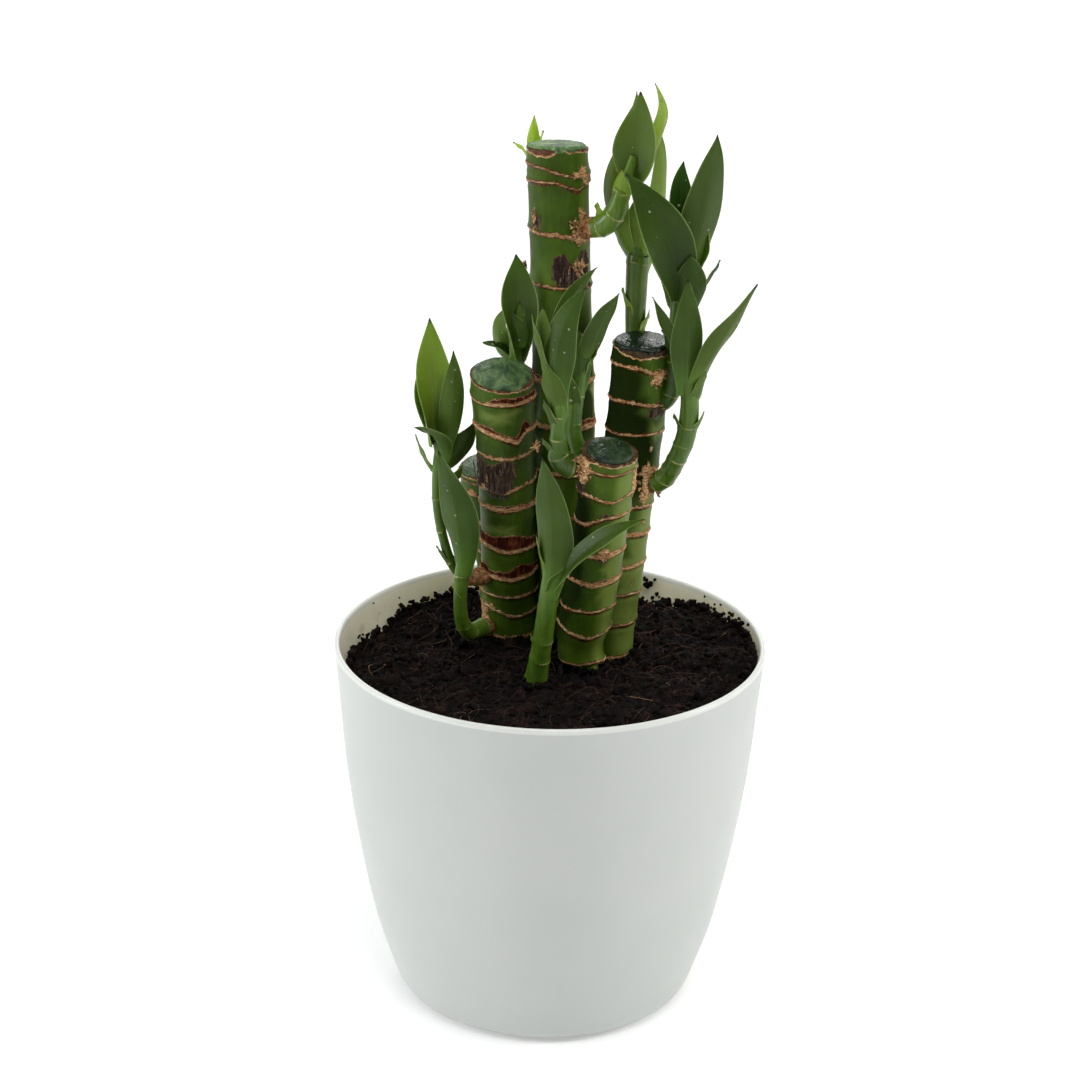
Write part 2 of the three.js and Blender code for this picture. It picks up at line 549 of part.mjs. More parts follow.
function leafGeometry(leaf) {
  const [base, tip, out] = [vec(leaf.base), vec(leaf.tip), vec(leaf.out).normalize()];
  const mid = leaf.mid ? vec(leaf.mid) : base.clone().lerp(tip, 0.5).addScaledVector(out, 0.6);
  const pull = mid.clone().multiplyScalar(2).addScaledVector(base, -0.5).addScaledVector(tip, -0.5);
  const curve = new THREE.QuadraticBezierCurve3(base, pull, tip);
  const across = leaf.width > BROAD_BLADE ? 4 : 2;
  const [outer, inner] = [[], []];
  for (let u = 0; u <= BLADE_STEPS; u++) {
    const t = u / BLADE_STEPS;
    const along = curve.getTangent(t);
    const back = out.clone().projectOnPlane(along).normalize();
    const side = new THREE.Vector3().crossVectors(along, back);
    const opened = THREE.MathUtils.lerp(leaf.sheath ?? leaf.cup, leaf.cup, Math.min(1, t / SHEATH_SHARE));
    const curl = opened * (1 + TIP_OPENING * t * t);
    const width = Math.max(leaf.width * spread(t), TIP_WIDTH);
    const half = Math.min(width / 2 / curl, LARGEST_HALF_CURL);
    const row = (radius) =>
      Array.from({ length: across + 1 }, (_, v) => {
        const a = half * ((2 * v) / across - 1);
        return curve
          .getPoint(t)
          .addScaledVector(back, radius * Math.cos(a) - curl)
          .addScaledVector(side, radius * Math.sin(a));
      });
    outer.push(...row(curl));
    inner.push(...row(curl - BLADE_THICKNESS));
  }
  const points = [...outer, ...inner];
  const triangles = [];
  const o = (u, v) => u * (across + 1) + v;
  const i = (u, v) => outer.length + o(u, v);
  const quad = (a, b, c, d) => triangles.push([a, b, c], [a, c, d]);
  for (let u = 0; u < BLADE_STEPS; u++) {
    for (let v = 0; v < across; v++) {
      quad(o(u, v), o(u, v + 1), o(u + 1, v + 1), o(u + 1, v));
      triangles.push([i(u, v), i(u + 1, v + 1), i(u, v + 1)], [i(u, v), i(u + 1, v), i(u + 1, v + 1)]);
    }
    quad(o(u, 0), o(u + 1, 0), i(u + 1, 0), i(u, 0));
    quad(o(u, across), i(u, across), i(u + 1, across), o(u + 1, across));
  }
  for (let v = 0; v < across; v++) {
    quad(o(0, v), i(0, v), i(0, v + 1), o(0, v + 1));
    quad(o(BLADE_STEPS, v), o(BLADE_STEPS, v + 1), i(BLADE_STEPS, v + 1), i(BLADE_STEPS, v));
  }
  return closedGeometry(points, triangles);
}

// Stem and leaves as one body, cut to a seat against its cane. Closed pockets between the blades are filled.
function shootSolid(shoot) {
  let solid = toSolid(stemGeometry(shoot.stem));
  for (const leaf of shoot.leaves) solid = solid.add(toSolid(leafGeometry(leaf)));
  if (shoot.cane) solid = solid.subtract(toSolid(caneGeometry(CANES[shoot.cane], GAP)));
  const bodies = solid.decompose();
  return bodies.reduce((largest, body) => (body.volume() > largest.volume() ? body : largest));
}

const plant = new THREE.Group();
plant.add(named("pot", pot(), white));

let soil = toSolid(soilGeometry());
for (const cane of Object.values(CANES)) soil = soil.subtract(toSolid(caneGeometry(cane, GAP)));
for (const name of ["soil_shoot", "left_foot_shoot"])
  soil = soil.subtract(toSolid(stemGeometry(SHOOTS[name].stem, GAP)));
plant.add(named("soil", toGeometry(soil), peat));

Object.entries(CANES).forEach(([name, cane], i) => {
  plant.add(named(`${name}_cane`, caneGeometry(cane), bark));
  plant.add(named(`${name}_cane_wax`, waxGeometry(cane, i), wax));
});

for (const [name, shoot] of Object.entries(SHOOTS))
  plant.add(named(name, toGeometry(shootSolid(shoot)), leafGreen));

export default plant;
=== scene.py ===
"""A lucky bamboo in a white pot: five cut canes with waxed tops, eleven leafy shoots and loose dark soil."""

import math

import bmesh
import bpy
import numpy as np
from mathutils import Matrix, Vector, noise


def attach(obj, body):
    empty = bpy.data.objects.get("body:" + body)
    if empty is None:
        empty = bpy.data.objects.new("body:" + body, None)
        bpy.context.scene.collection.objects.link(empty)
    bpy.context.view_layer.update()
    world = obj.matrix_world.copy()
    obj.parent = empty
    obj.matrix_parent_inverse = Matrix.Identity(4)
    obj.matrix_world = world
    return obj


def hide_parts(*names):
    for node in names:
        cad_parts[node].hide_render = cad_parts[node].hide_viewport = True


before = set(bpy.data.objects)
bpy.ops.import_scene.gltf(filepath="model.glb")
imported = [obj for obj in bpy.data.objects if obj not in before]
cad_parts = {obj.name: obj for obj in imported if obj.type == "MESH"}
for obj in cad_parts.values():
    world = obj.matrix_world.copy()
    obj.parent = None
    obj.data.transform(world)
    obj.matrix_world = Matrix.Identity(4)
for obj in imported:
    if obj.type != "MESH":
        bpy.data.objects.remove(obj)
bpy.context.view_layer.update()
bpy.ops.object.select_all(action="DESELECT")

MM = 0.001
TAU = 2 * math.pi


# Camera, floor and light

CAMERA_PLACE = (0, -0.91858, 0.52622)
# Degrees that the camera looks down, is turned to the right and is rolled to the left.
CAMERA_TURN = (21.307, -0.257, 1.108)
CAMERA_LENS = 95.54
CAMERA_SENSOR = 36


def place_camera():
    pitch, yaw, roll = (math.radians(degrees) for degrees in CAMERA_TURN)
    forward = Vector((math.sin(yaw) * math.cos(pitch), math.cos(yaw) * math.cos(pitch), -math.sin(pitch)))
    right = forward.cross(Vector((0, 0, 1))).normalized()
    up = right.cross(forward)
    across = right * math.cos(roll) + up * math.sin(roll)
    upright = up * math.cos(roll) - right * math.sin(roll)
    turn = Matrix((across, upright, -forward)).transposed().to_4x4()
    bpy.ops.object.camera_add(location=CAMERA_PLACE)
    camera = bpy.context.object
    camera.name = "camera"
    camera.matrix_world = Matrix.Translation(camera.location) @ turn
    camera.data.sensor_width = CAMERA_SENSOR
    camera.data.lens = CAMERA_LENS
    bpy.context.scene.camera = camera


def soft_lamp(name, place, aim, size, power):
    bpy.ops.object.light_add(type="AREA", location=place)
    lamp = bpy.context.object
    lamp.name = name
    lamp.data.shape = "DISK"
    lamp.data.size = size
    lamp.data.energy = power
    lamp.rotation_euler = (Vector(place) - Vector(aim)).to_track_quat("Z", "Y").to_euler()


TENT_STRENGTH = 1.25
# Colours from the camera's side to the far side, and from the left to the right.
TENT_DEPTH = [(0.0, (0.06, 0.06, 0.06)), (0.34, (0.14, 0.14, 0.14)), (0.52, (0.8, 0.8, 0.8)),
              (0.7, (0.8, 0.8, 0.8)), (1.0, (0.3, 0.3, 0.3))]
TENT_WIDTH = [(0.0, (0.94, 0.99, 1.0)), (1.0, (1.0, 0.985, 0.93))]
# The sockets of a Mix node that serve colours.
MIX_FIRST, MIX_SECOND, MIX_RESULT = 6, 7, 2


def white_tent():
    """A bright tent behind and beside the plant, dark on the camera's side, cooler to the left."""
    world = bpy.data.worlds.new("white_tent")
    world.use_nodes = True
    tree = world.node_tree
    heading = tree.nodes.new("ShaderNodeSeparateXYZ")
    tree.links.new(tree.nodes.new("ShaderNodeTexCoord").outputs["Generated"], heading.inputs[0])
    colours = []
    for axis, stops in (("Y", TENT_DEPTH), ("X", TENT_WIDTH)):
        share = tree.nodes.new("ShaderNodeMapRange")
        share.inputs["From Min"].default_value = -1
        tree.links.new(heading.outputs[axis], share.inputs["Value"])
        ramp = tree.nodes.new("ShaderNodeValToRGB")
        ramp.color_ramp.interpolation = "EASE"
        while len(ramp.color_ramp.elements) < len(stops):
            ramp.color_ramp.elements.new(0.5)
        for element, (where, colour) in zip(ramp.color_ramp.elements, stops):
            element.position = where
            element.color = (*colour, 1)
        tree.links.new(share.outputs["Result"], ramp.inputs["Fac"])
        colours.append(ramp.outputs["Color"])
    mixed = tree.nodes.new("ShaderNodeMix")
    mixed.data_type = "RGBA"
    mixed.blend_type = "MULTIPLY"
    mixed.inputs[0].default_value = 1
    tree.links.new(colours[0], mixed.inputs[MIX_FIRST])
    tree.links.new(colours[1], mixed.inputs[MIX_SECOND])
    tent = tree.nodes["Background"]
    tree.links.new(mixed.outputs[MIX_RESULT], tent.inputs["Color"])
    tent.inputs["Strength"].default_value = TENT_STRENGTH
    paper = tree.nodes.new("ShaderNodeBackground")
    paper.inputs["Color"].default_value = (1, 1, 1, 1)
    seen = tree.nodes.new("ShaderNodeMixShader")
    tree.links.new(tree.nodes.new("ShaderNodeLightPath").outputs["Is Camera Ray"], seen.inputs[0])
    tree.links.new(tent.outputs[0], seen.inputs[1])
    tree.links.new(paper.outputs[0], seen.inputs[2])
    tree.links.new(seen.outputs[0], tree.nodes["World Output"].inputs["Surface"])
    bpy.context.scene.world = world


FLOOR_SIZE = 12
FLOOR_LEVEL = -0.0004


def studio():
    white_tent()
    bpy.context.scene.view_settings.view_transform = "Standard"
    soft_lamp("top_lamp", (0.2, -0.8, 1.5), (0, 0, 0.15), 0.8, 10)
    soft_lamp("right_lamp", (1.1, -0.1, 0.6), (0, 0, 0.2), 0.35, 3.5)
    soft_lamp("left_lamp", (-1.1, -0.2, 0.45), (0, 0, 0.06), 0.4, 4.2)
    soft_lamp("back_lamp", (0, 2.5, 1.2), (0, 2.4, 0), 1.2, 16)
    bpy.ops.mesh.primitive_grid_add(x_subdivisions=8, y_subdivisions=8, size=FLOOR_SIZE,
                                    location=(0, 0, FLOOR_LEVEL))
    floor = bpy.context.object
    floor.name = "floor"
    look = Finish("floor_paper")
    look.put("Base Color", (0.95, 0.95, 0.95, 1))
    look.put("Roughness", 0.9)
    look.put("Emission Color", (1, 1, 1, 1))
    look.put("Emission Strength", 0.22)
    floor.data.materials.append(look.material)


# Finishes

def paint(red, green, blue):
    """A colour given as 0-255 screen values, made linear for the shader."""
    def linear(value):
        value /= 255
        return value / 12.92 if value <= 0.04045 else ((value + 0.055) / 1.055) ** 2.4
    return (linear(red), linear(green), linear(blue), 1)


class Finish:
    """A node material being put together, with one short call for each kind of node."""

    def __init__(self, name):
        self.material = bpy.data.materials.new(name)
        self.material.use_nodes = True
        self.tree = self.material.node_tree
        self.shader = self.tree.nodes["Principled BSDF"]
        self.place = self.tree.nodes.new("ShaderNodeTexCoord").outputs["Object"]

    def feed(self, socket, value):
        if isinstance(value, bpy.types.NodeSocket):
            self.tree.links.new(value, socket)
        else:
            socket.default_value = value

    def put(self, socket, value):
        self.feed(self.shader.inputs[socket], value)

    def stretched(self, scale, along=None):
        node = self.tree.nodes.new("ShaderNodeMapping")
        self.feed(node.inputs["Vector"], self.place if along is None else along)
        node.inputs["Scale"].default_value = scale
        return node.outputs["Vector"]

    def noise(self, scale, detail=3.0, rough=0.55, along=None, bend=0.0):
        node = self.tree.nodes.new("ShaderNodeTexNoise")
        self.feed(node.inputs["Vector"], self.place if along is None else along)
        node.inputs["Scale"].default_value = scale
        node.inputs["Detail"].default_value = detail
        node.inputs["Roughness"].default_value = rough
        node.inputs["Distortion"].default_value = bend
        return node.outputs["Fac"]

    def cells(self, scale):
        node = self.tree.nodes.new("ShaderNodeTexVoronoi")
        self.feed(node.inputs["Vector"], self.place)
        node.inputs["Scale"].default_value = scale
        return node.outputs["Distance"]

    def sum(self, a, b, op="ADD"):
        node = self.tree.nodes.new("ShaderNodeMath")
        node.operation = op
        self.feed(node.inputs[0], a)
        self.feed(node.inputs[1], b)
        return node.outputs["Value"]

    def times(self, a, b):
        return self.sum(a, b, "MULTIPLY")

    def ease(self, value, low, high, start=0.0, end=1.0):
        node = self.tree.nodes.new("ShaderNodeMapRange")
        node.interpolation_type = "SMOOTHSTEP"
        self.feed(node.inputs["Value"], value)
        node.inputs["From Min"].default_value = low
        node.inputs["From Max"].default_value = high
        node.inputs["To Min"].default_value = start
        node.inputs["To Max"].default_value = end
        return node.outputs["Result"]

    def ramp(self, value, stops):
        node = self.tree.nodes.new("ShaderNodeValToRGB")
        self.feed(node.inputs["Fac"], value)
        band = node.color_ramp
        while len(band.elements) < len(stops):
            band.elements.new(0.5)
        for element, (where, colour) in zip(band.elements, stops):
            element.position = where
            element.color = colour
        return node.outputs["Color"]

    def blend(self, share, a, b):
        node = self.tree.nodes.new("ShaderNodeMix")
        node.data_type = "RGBA"
        self.feed(node.inputs[0], share)
        self.feed(node.inputs[MIX_FIRST], a)
        self.feed(node.inputs[MIX_SECOND], b)
        return node.outputs[MIX_RESULT]

    def mark(self, name):
        node = self.tree.nodes.new("ShaderNodeAttribute")
        node.attribute_name = name
        return node.outputs["Fac"]

    def uv(self):
        node = self.tree.nodes.new("ShaderNodeUVMap")
        split = self.tree.nodes.new("ShaderNodeSeparateXYZ")
        self.feed(split.inputs[0], node.outputs["UV"])
        return node.outputs["UV"], split.outputs["X"], split.outputs["Y"]

    def height(self):
        split = self.tree.nodes.new("ShaderNodeSeparateXYZ")
        self.feed(split.inputs[0], self.place)
        return split.outputs["Z"]

    def relief(self, height, strength, depth):
        node = self.tree.nodes.new("ShaderNodeBump")
        node.inputs["Strength"].default_value = strength
        node.inputs["Distance"].default_value = depth
        self.feed(node.inputs["Height"], height)
        self.put("Normal", node.outputs["Normal"])


def pot_plastic():
    look = Finish("pot_plastic")
    clouds = look.noise(14, 3, 0.6)
    skin = look.blend(look.ease(clouds, 0.35, 0.7), paint(197, 200, 197), paint(193, 197, 194))
    scratches = look.noise(60, 4, 0.7, look.stretched((1, 1, 0.12)), 1.5)
    scuffs = look.times(look.ease(scratches, 0.67, 0.74), look.ease(look.noise(22, 2), 0.52, 0.66))
    skin = look.blend(look.times(scuffs, 0.35), skin, paint(196, 200, 196))
    # Painted light: the inner wall is painted near-white and warm, much lighter than the same plastic
    # outside.
    skin = look.blend(look.mark("inside"), skin, paint(252, 243, 224))
    # Painted highlight: a lighter band round the lip, where its rounded top catches the light; the band is
    # also glossier.
    lip_highlight = look.ease(look.height(), 0.1288, 0.1296)
    skin = look.blend(look.times(lip_highlight, 0.9), skin, paint(228, 230, 225))
    smears = look.times(look.mark("inside"), look.ease(look.height(), 0.129, 0.121))
    smears = look.times(smears, look.ease(look.noise(190, 5, 0.65), 0.56, 0.68))
    skin = look.blend(look.times(smears, 0.3), skin, paint(120, 100, 80))
    look.put("Base Color", skin)
    gloss = look.ease(look.noise(35, 4), 0.3, 0.7, 0.36, 0.46)
    look.put("Roughness", look.sum(gloss, look.times(lip_highlight, 0.16), "SUBTRACT"))
    look.put("Specular IOR Level", 0.5)
    look.put("Subsurface Weight", look.times(look.mark("inside"), 0.34))
    look.put("Subsurface Radius", (1.0, 0.94, 0.7))
    look.put("Subsurface Scale", 0.006)
    look.relief(look.sum(look.noise(900, 2), look.times(scuffs, 0.6), "SUBTRACT"), 0.12, 0.00008)
    return look.material


def peat(name, shade_mark):
    look = Finish(name)
    grain = look.noise(420, 6, 0.72)
    lumps = look.noise(120, 4, 0.6)
    dirt = look.ramp(look.sum(look.times(grain, 0.6), look.times(lumps, 0.4)), [
        (0.34, paint(3, 2, 2)), (0.5, paint(15, 9, 8)), (0.64, paint(34, 21, 17)), (0.8, paint(70, 43, 32))])
    flecks = look.ease(look.cells(520), 0.14, 0.05)
    flecks = look.times(flecks, look.ease(look.noise(260, 2), 0.6, 0.68))
    dirt = look.blend(look.times(flecks, 0.7), dirt, paint(128, 96, 68))
    if shade_mark:
        dirt = look.blend(look.mark("shade"), dirt, paint(46, 31, 23))
    look.put("Base Color", dirt)
    look.put("Roughness", look.ease(grain, 0.3, 0.7, 0.72, 0.95))
    look.put("Specular IOR Level", 0.12)
    look.relief(look.sum(grain, look.times(look.cells(700), 0.5)), 0.9, 0.0007)
    return look.material


def root_fibre():
    look = Finish("root_fibre")
    tone = look.noise(300, 3)
    dark = look.ramp(tone, [(0.35, paint(40, 20, 15)), (0.65, paint(84, 44, 30))])
    look.put("Base Color", look.blend(look.mark("shade"), dark, paint(176, 138, 100)))
    look.put("Roughness", look.ease(tone, 0.3, 0.7, 0.6, 0.8))
    look.relief(look.noise(2500, 2), 0.5, 0.0001)
    return look.material


def cane_rind():
    """Green rind with tan leaf scars, brown bands, dried husk and torn edges, led by marks on the mesh."""
    look = Finish("cane_rind")
    fibres = look.stretched((1, 1, 0.07))
    mottle = look.noise(45, 4, 0.6)
    streaks = look.noise(900, 3, 0.6, fibres)
    green = look.ramp(mottle, [
        (0.3, paint(44, 62, 10)), (0.5, paint(60, 84, 14)), (0.68, paint(76, 100, 24))])
    green = look.blend(look.ease(streaks, 0.45, 0.75, 0.0, 0.2), green, paint(98, 124, 40))
    # In part painted light: short pale patches are pale rind, the long strips down the lit right sides are
    # painted light.
    green = look.blend(look.times(look.mark("pale_and_lit"), 0.6), green, paint(124, 140, 66))
    grime = look.ease(look.noise(85, 5, 0.7, look.stretched((1, 1, 0.7))), 0.5, 0.7)
    green = look.blend(look.times(grime, 0.26), green, paint(46, 46, 14))
    # Painted shade: dark green patches where the neighbouring canes and leaves shade the cane.
    green = look.blend(look.times(look.mark("painted_shade"), 0.88), green, paint(15, 25, 6))
    edge = look.times(look.sum(look.noise(700, 5, 0.7, look.stretched((1, 1, 0.5))), 0.5, "SUBTRACT"), 3.4)
    fine = look.times(look.sum(look.noise(1900, 4, 0.7), 0.5, "SUBTRACT"), 1.6)

    hair = look.sum(look.noise(320, 4, 0.65, look.stretched((1, 1, 5))), 0.5, "SUBTRACT")
    gap = look.sum(look.mark("ring_gap"), look.sum(look.times(hair, 0.9), look.times(fine, 0.12)))
    worn = look.ease(look.noise(110, 4, 0.7, look.stretched((1, 1, 2))), 0.36, 0.6, 0.35, 1.0)
    line = look.times(look.ease(gap, 0.46, 0.26), look.times(look.mark("ring_line"), worn))
    margin = look.times(look.ease(gap, 0.95, 0.5), look.mark("ring_line"))
    under = look.sum(look.mark("ring_under"), look.times(edge, 0.3))
    under = look.ease(under, 0.35, 0.75)
    band_depth = look.sum(look.mark("band"), edge)
    band = look.ease(band_depth, -0.15, 0.25)
    band_rim = look.times(band, look.ease(look.sum(gap, look.times(edge, 0.5)), 1.7, 0.6))
    torn_rim = look.times(band, look.ease(band_depth, 0.7, 0.2))
    husk_depth = look.sum(look.mark("husk"), look.times(edge, 0.7))
    husk = look.ease(husk_depth, -0.1, 0.3)
    husk_rim = look.times(husk, look.ease(husk_depth, 0.5, 0.1))
    flake = look.ease(look.sum(look.mark("flake"), look.times(edge, 1.4)), -0.1, 0.3)

    rust = look.ramp(look.noise(800, 5, 0.7, look.stretched((1, 1, 0.3))), [
        (0.32, paint(26, 10, 8)), (0.48, paint(62, 26, 16)), (0.64, paint(112, 58, 36)),
        (0.84, paint(170, 116, 72))])
    dried = look.ramp(look.noise(1000, 5, 0.75, fibres), [
        (0.34, paint(28, 20, 17)), (0.52, paint(68, 54, 46)), (0.68, paint(118, 101, 88)),
        (0.84, paint(172, 156, 136))])
    tan = look.ramp(look.noise(520, 5, 0.68, look.stretched((1, 1, 3.2))), [
        (0.3, paint(112, 62, 36)), (0.48, paint(184, 136, 90)), (0.66, paint(236, 208, 166))])
    skin = look.blend(look.times(under, 0.85), green, rust)
    skin = look.blend(look.times(margin, 0.8), skin, rust)
    skin = look.blend(band, skin, rust)
    skin = look.blend(look.times(band_rim, 0.8), skin, tan)
    skin = look.blend(look.times(torn_rim, 0.6), skin, tan)
    skin = look.blend(husk, skin, dried)
    skin = look.blend(look.times(husk_rim, 0.3), skin, tan)
    skin = look.blend(line, skin, tan)
    skin = look.blend(flake, skin, tan)
    rim_depth = look.sum(look.mark("rim"), look.times(edge, 0.7))
    skin = look.blend(look.ease(rim_depth, -0.15, 0.05), skin, tan)
    wax = look.blend(look.mark("waxed"), rust, paint(9, 20, 11))
    skin = look.blend(look.times(look.ease(rim_depth, 0.35, 0.6), 0.9), skin, wax)
    dots = look.times(look.ease(look.cells(380), 0.1, 0.05), look.ease(look.noise(90, 2), 0.6, 0.66))
    skin = look.blend(look.times(dots, 0.6), skin, paint(60, 40, 22))
    look.put("Base Color", skin)
    bark = look.sum(look.sum(band, husk, "MAXIMUM"), look.sum(line, flake, "MAXIMUM"), "MAXIMUM")
    # The painted shade also takes the sheen off the rind.
    dull = look.sum(bark, look.mark("painted_shade"), "MAXIMUM")
    look.put("Roughness", look.ease(dull, 0.0, 1.0, 0.44, 0.82))
    look.put("Specular IOR Level", look.ease(dull, 0.0, 1.0, 0.12, 0.03))
    rough = look.times(bark, look.sum(look.noise(1500, 4, 0.7, look.stretched((1, 1, 0.4))), 0.4))
    skin_height = look.sum(look.times(rough, 1.0), look.times(line, 0.7))
    skin_height = look.sum(skin_height, look.times(streaks, 0.05))
    look.relief(skin_height, 0.8, 0.0006)
    return look.material


def sealing_wax():
    look = Finish("sealing_wax")
    brushed = look.noise(190, 5, 0.7, look.stretched((1, 0.45, 1)), 1.2)
    thick = look.ramp(brushed, [
        (0.34, paint(4, 14, 8)), (0.6, paint(12, 36, 20)), (0.78, paint(32, 66, 40))])
    thin = look.ramp(brushed, [
        (0.34, paint(38, 64, 36)), (0.46, paint(76, 108, 64)), (0.58, paint(116, 144, 88)),
        (0.74, paint(172, 188, 134))])
    look.put("Base Color", look.blend(look.mark("thin"), thick, thin))
    worn = look.sum(look.mark("thin"), look.times(look.sum(brushed, 0.5, "SUBTRACT"), 0.8))
    look.put("Roughness", look.ease(worn, 0.0, 1.0, 0.16, 0.42))
    look.put("Specular IOR Level", look.ease(look.mark("thin"), 0.0, 1.0, 0.32, 0.2))
    look.relief(look.sum(brushed, look.times(look.noise(700, 3), 0.3)), 0.8, 0.0008)
    return look.material


def blade_face(name, deep, light, shine, bloom, inner):
    """A leaf face. The map's X runs across the blade and its Y from the base to the tip."""
    look = Finish(name)
    flat, across, along = look.uv()
    soft = look.noise(60, 3)
    grain = look.noise(1, 4, 0.6, look.stretched((24, 1.4, 1), flat))
    tone = look.sum(look.times(soft, 0.5), look.times(grain, 0.5))
    skin = look.blend(look.ease(tone, 0.42, 0.58), deep, light)
    # In part painted light: the fresh mark lifts the green towards pale yellow-green, for young growth and
    # where light shines through.
    skin = look.blend(look.times(look.mark("fresh_and_lit"), 0.9), skin, paint(176, 206, 66))
    veins = look.tree.nodes.new("ShaderNodeTexWave")
    veins.wave_type = "BANDS"
    veins.bands_direction = "X"
    look.feed(veins.inputs["Vector"], flat)
    veins.inputs["Scale"].default_value = 5.2
    veins.inputs["Distortion"].default_value = 0.6
    veins.inputs["Detail"].default_value = 1.0
    vein = veins.outputs["Fac"]
    skin = look.blend(look.ease(vein, 0.6, 1.0, 0.0, 0.05), skin, bloom)
    middle = look.sum(look.sum(across, 0.5, "SUBTRACT"), 0.0, "ABSOLUTE")
    midrib = look.times(look.ease(middle, 0.03, 0.0), look.ease(along, 0.95, 0.5))
    skin = look.blend(look.times(midrib, 0.2), skin, bloom)
    if inner:
        # Painted shade: the inner face darkens towards the middle of its base, where the cupped blade shades
        # itself.
        pit_shade = look.times(look.ease(along, 0.6, 0.15), look.ease(middle, 0.5, 0.12))
        skin = look.blend(look.times(pit_shade, 0.5), skin, paint(14, 32, 5))
    # In part painted shade: the dark mark deepens each leaf's green towards near-black, matched leaf by
    # leaf.
    skin = look.blend(look.times(look.mark("dark"), 0.9), skin, paint(16, 32, 8))
    base_pale = look.ease(along, 0.34, 0.0)
    skin = look.blend(look.times(base_pale, 0.12 if inner else 0.5), skin, paint(94, 134, 40))
    margin = look.ease(look.sum(middle, look.times(look.noise(500, 2), 0.02)), 0.482, 0.496)
    skin = look.blend(look.times(margin, 0.5), skin, paint(140, 158, 96))
    tip = look.ease(look.sum(along, look.times(look.noise(400, 2), 0.03)), 0.965, 1.0)
    skin = look.blend(look.times(tip, look.mark("dry_tip")), skin, paint(34, 30, 14))
    specks = look.times(look.ease(look.cells(650), 0.12, 0.06), look.ease(look.noise(150, 2), 0.58, 0.66))
    skin = look.blend(look.times(specks, 0.6), skin, paint(150, 166, 120))
    look.put("Base Color", skin)
    look.put("Roughness", look.ease(look.noise(160, 4), 0.3, 0.7, shine, shine + 0.14))
    look.put("Specular IOR Level", 0.2)
    look.put("Subsurface Weight", 0.2)
    look.put("Subsurface Radius", (0.6, 1.0, 0.2))
    look.put("Subsurface Scale", 0.0012)
    look.relief(look.sum(look.times(vein, 0.25), look.sum(look.times(midrib, 0.6), grain)), 0.3, 0.00025)
    return look.material


def shoot_stem():
    look = Finish("shoot_stem")
    streaks = look.noise(600, 3, 0.6, look.stretched((1, 1, 0.1)))
    green = look.ramp(look.noise(90, 3), [(0.3, paint(52, 84, 14)), (0.7, paint(80, 114, 30))])
    green = look.blend(look.ease(streaks, 0.5, 0.75, 0.0, 0.35), green, paint(112, 136, 62))
    green = look.blend(look.ease(streaks, 0.48, 0.3, 0.0, 0.45), green, paint(34, 60, 10))
    # In part painted light: the fresh mark lifts the stem's green, for young growth and where the stem
    # catches the light.
    green = look.blend(look.times(look.mark("fresh_and_lit"), 0.7), green, paint(122, 146, 48))
    gap = look.sum(look.sum(look.mark("ring_gap"), 0.0, "ABSOLUTE"), look.times(look.noise(900, 3), 0.3))
    ring = look.times(look.ease(gap, 0.62, 0.26), look.ease(look.noise(260, 3), 0.34, 0.56, 0.25, 1.0))
    skin = look.blend(look.times(ring, 0.85), green, paint(184, 176, 116))
    tone = look.noise(800, 4, 0.7)
    bark = look.ramp(tone, [
        (0.32, paint(72, 38, 24)), (0.5, paint(146, 96, 58)), (0.7, paint(208, 168, 114))])
    ragged = look.times(look.sum(tone, 0.5, "SUBTRACT"), 1.4)
    skin = look.blend(look.ease(look.sum(look.mark("bark"), ragged), 0.35, 0.55), skin, bark)
    # In part painted shade: the dark mark deepens the stem's green where it lies among the leaves.
    skin = look.blend(look.times(look.mark("dark"), 0.9), skin, paint(16, 32, 8))
    look.put("Base Color", skin)
    look.put("Roughness", look.ease(streaks, 0.3, 0.7, 0.26, 0.42))
    look.put("Specular IOR Level", 0.32)
    look.relief(look.sum(look.times(streaks, 0.4), ring), 0.4, 0.0003)
    return look.material


def water_painted_glints():
    look = Finish("water_painted_glints")
    tone = look.ease(look.noise(300, 2), 0.3, 0.7)
    # Painted highlight: a pale green-white base colour, half of it diffuse, lights the drops up as pale
    # specks.
    look.put("Base Color", look.blend(tone, paint(150, 176, 132), paint(190, 208, 172)))
    look.put("Roughness", look.ease(look.noise(800, 2), 0.3, 0.7, 0.02, 0.06))
    look.put("Transmission Weight", 0.5)
    look.put("IOR", 1.33)
    return look.material


def torn_bark():
    look = Finish("torn_bark")
    tone = look.noise(1000, 4, 0.7)
    warm = look.ramp(tone, [
        (0.34, paint(78, 40, 22)), (0.5, paint(174, 122, 72)), (0.64, paint(236, 204, 150))])
    dark = look.ramp(tone, [
        (0.35, paint(34, 25, 21)), (0.56, paint(82, 66, 56)), (0.76, paint(146, 126, 107))])
    look.put("Base Color", look.blend(look.mark("shade"), warm, dark))
    look.put("Roughness", look.ease(tone, 0.3, 0.7, 0.7, 0.9))
    look.relief(look.noise(2200, 3), 0.6, 0.0002)
    return look.material


# Modelling helpers

def read_points(piece):
    flat = np.empty(len(piece.data.vertices) * 3)
    piece.data.vertices.foreach_get("co", flat)
    return flat.reshape(-1, 3)


def write_points(piece, points):
    piece.data.vertices.foreach_set("co", np.ascontiguousarray(points).ravel())
    piece.data.update()


def write_mark(piece, name, values):
    """A number on each point of a piece, which its finish reads."""
    mark = piece.data.attributes.get(name) or piece.data.attributes.new(name, "FLOAT", "POINT")
    mark.data.foreach_set("value", np.ascontiguousarray(values, dtype=np.float32))


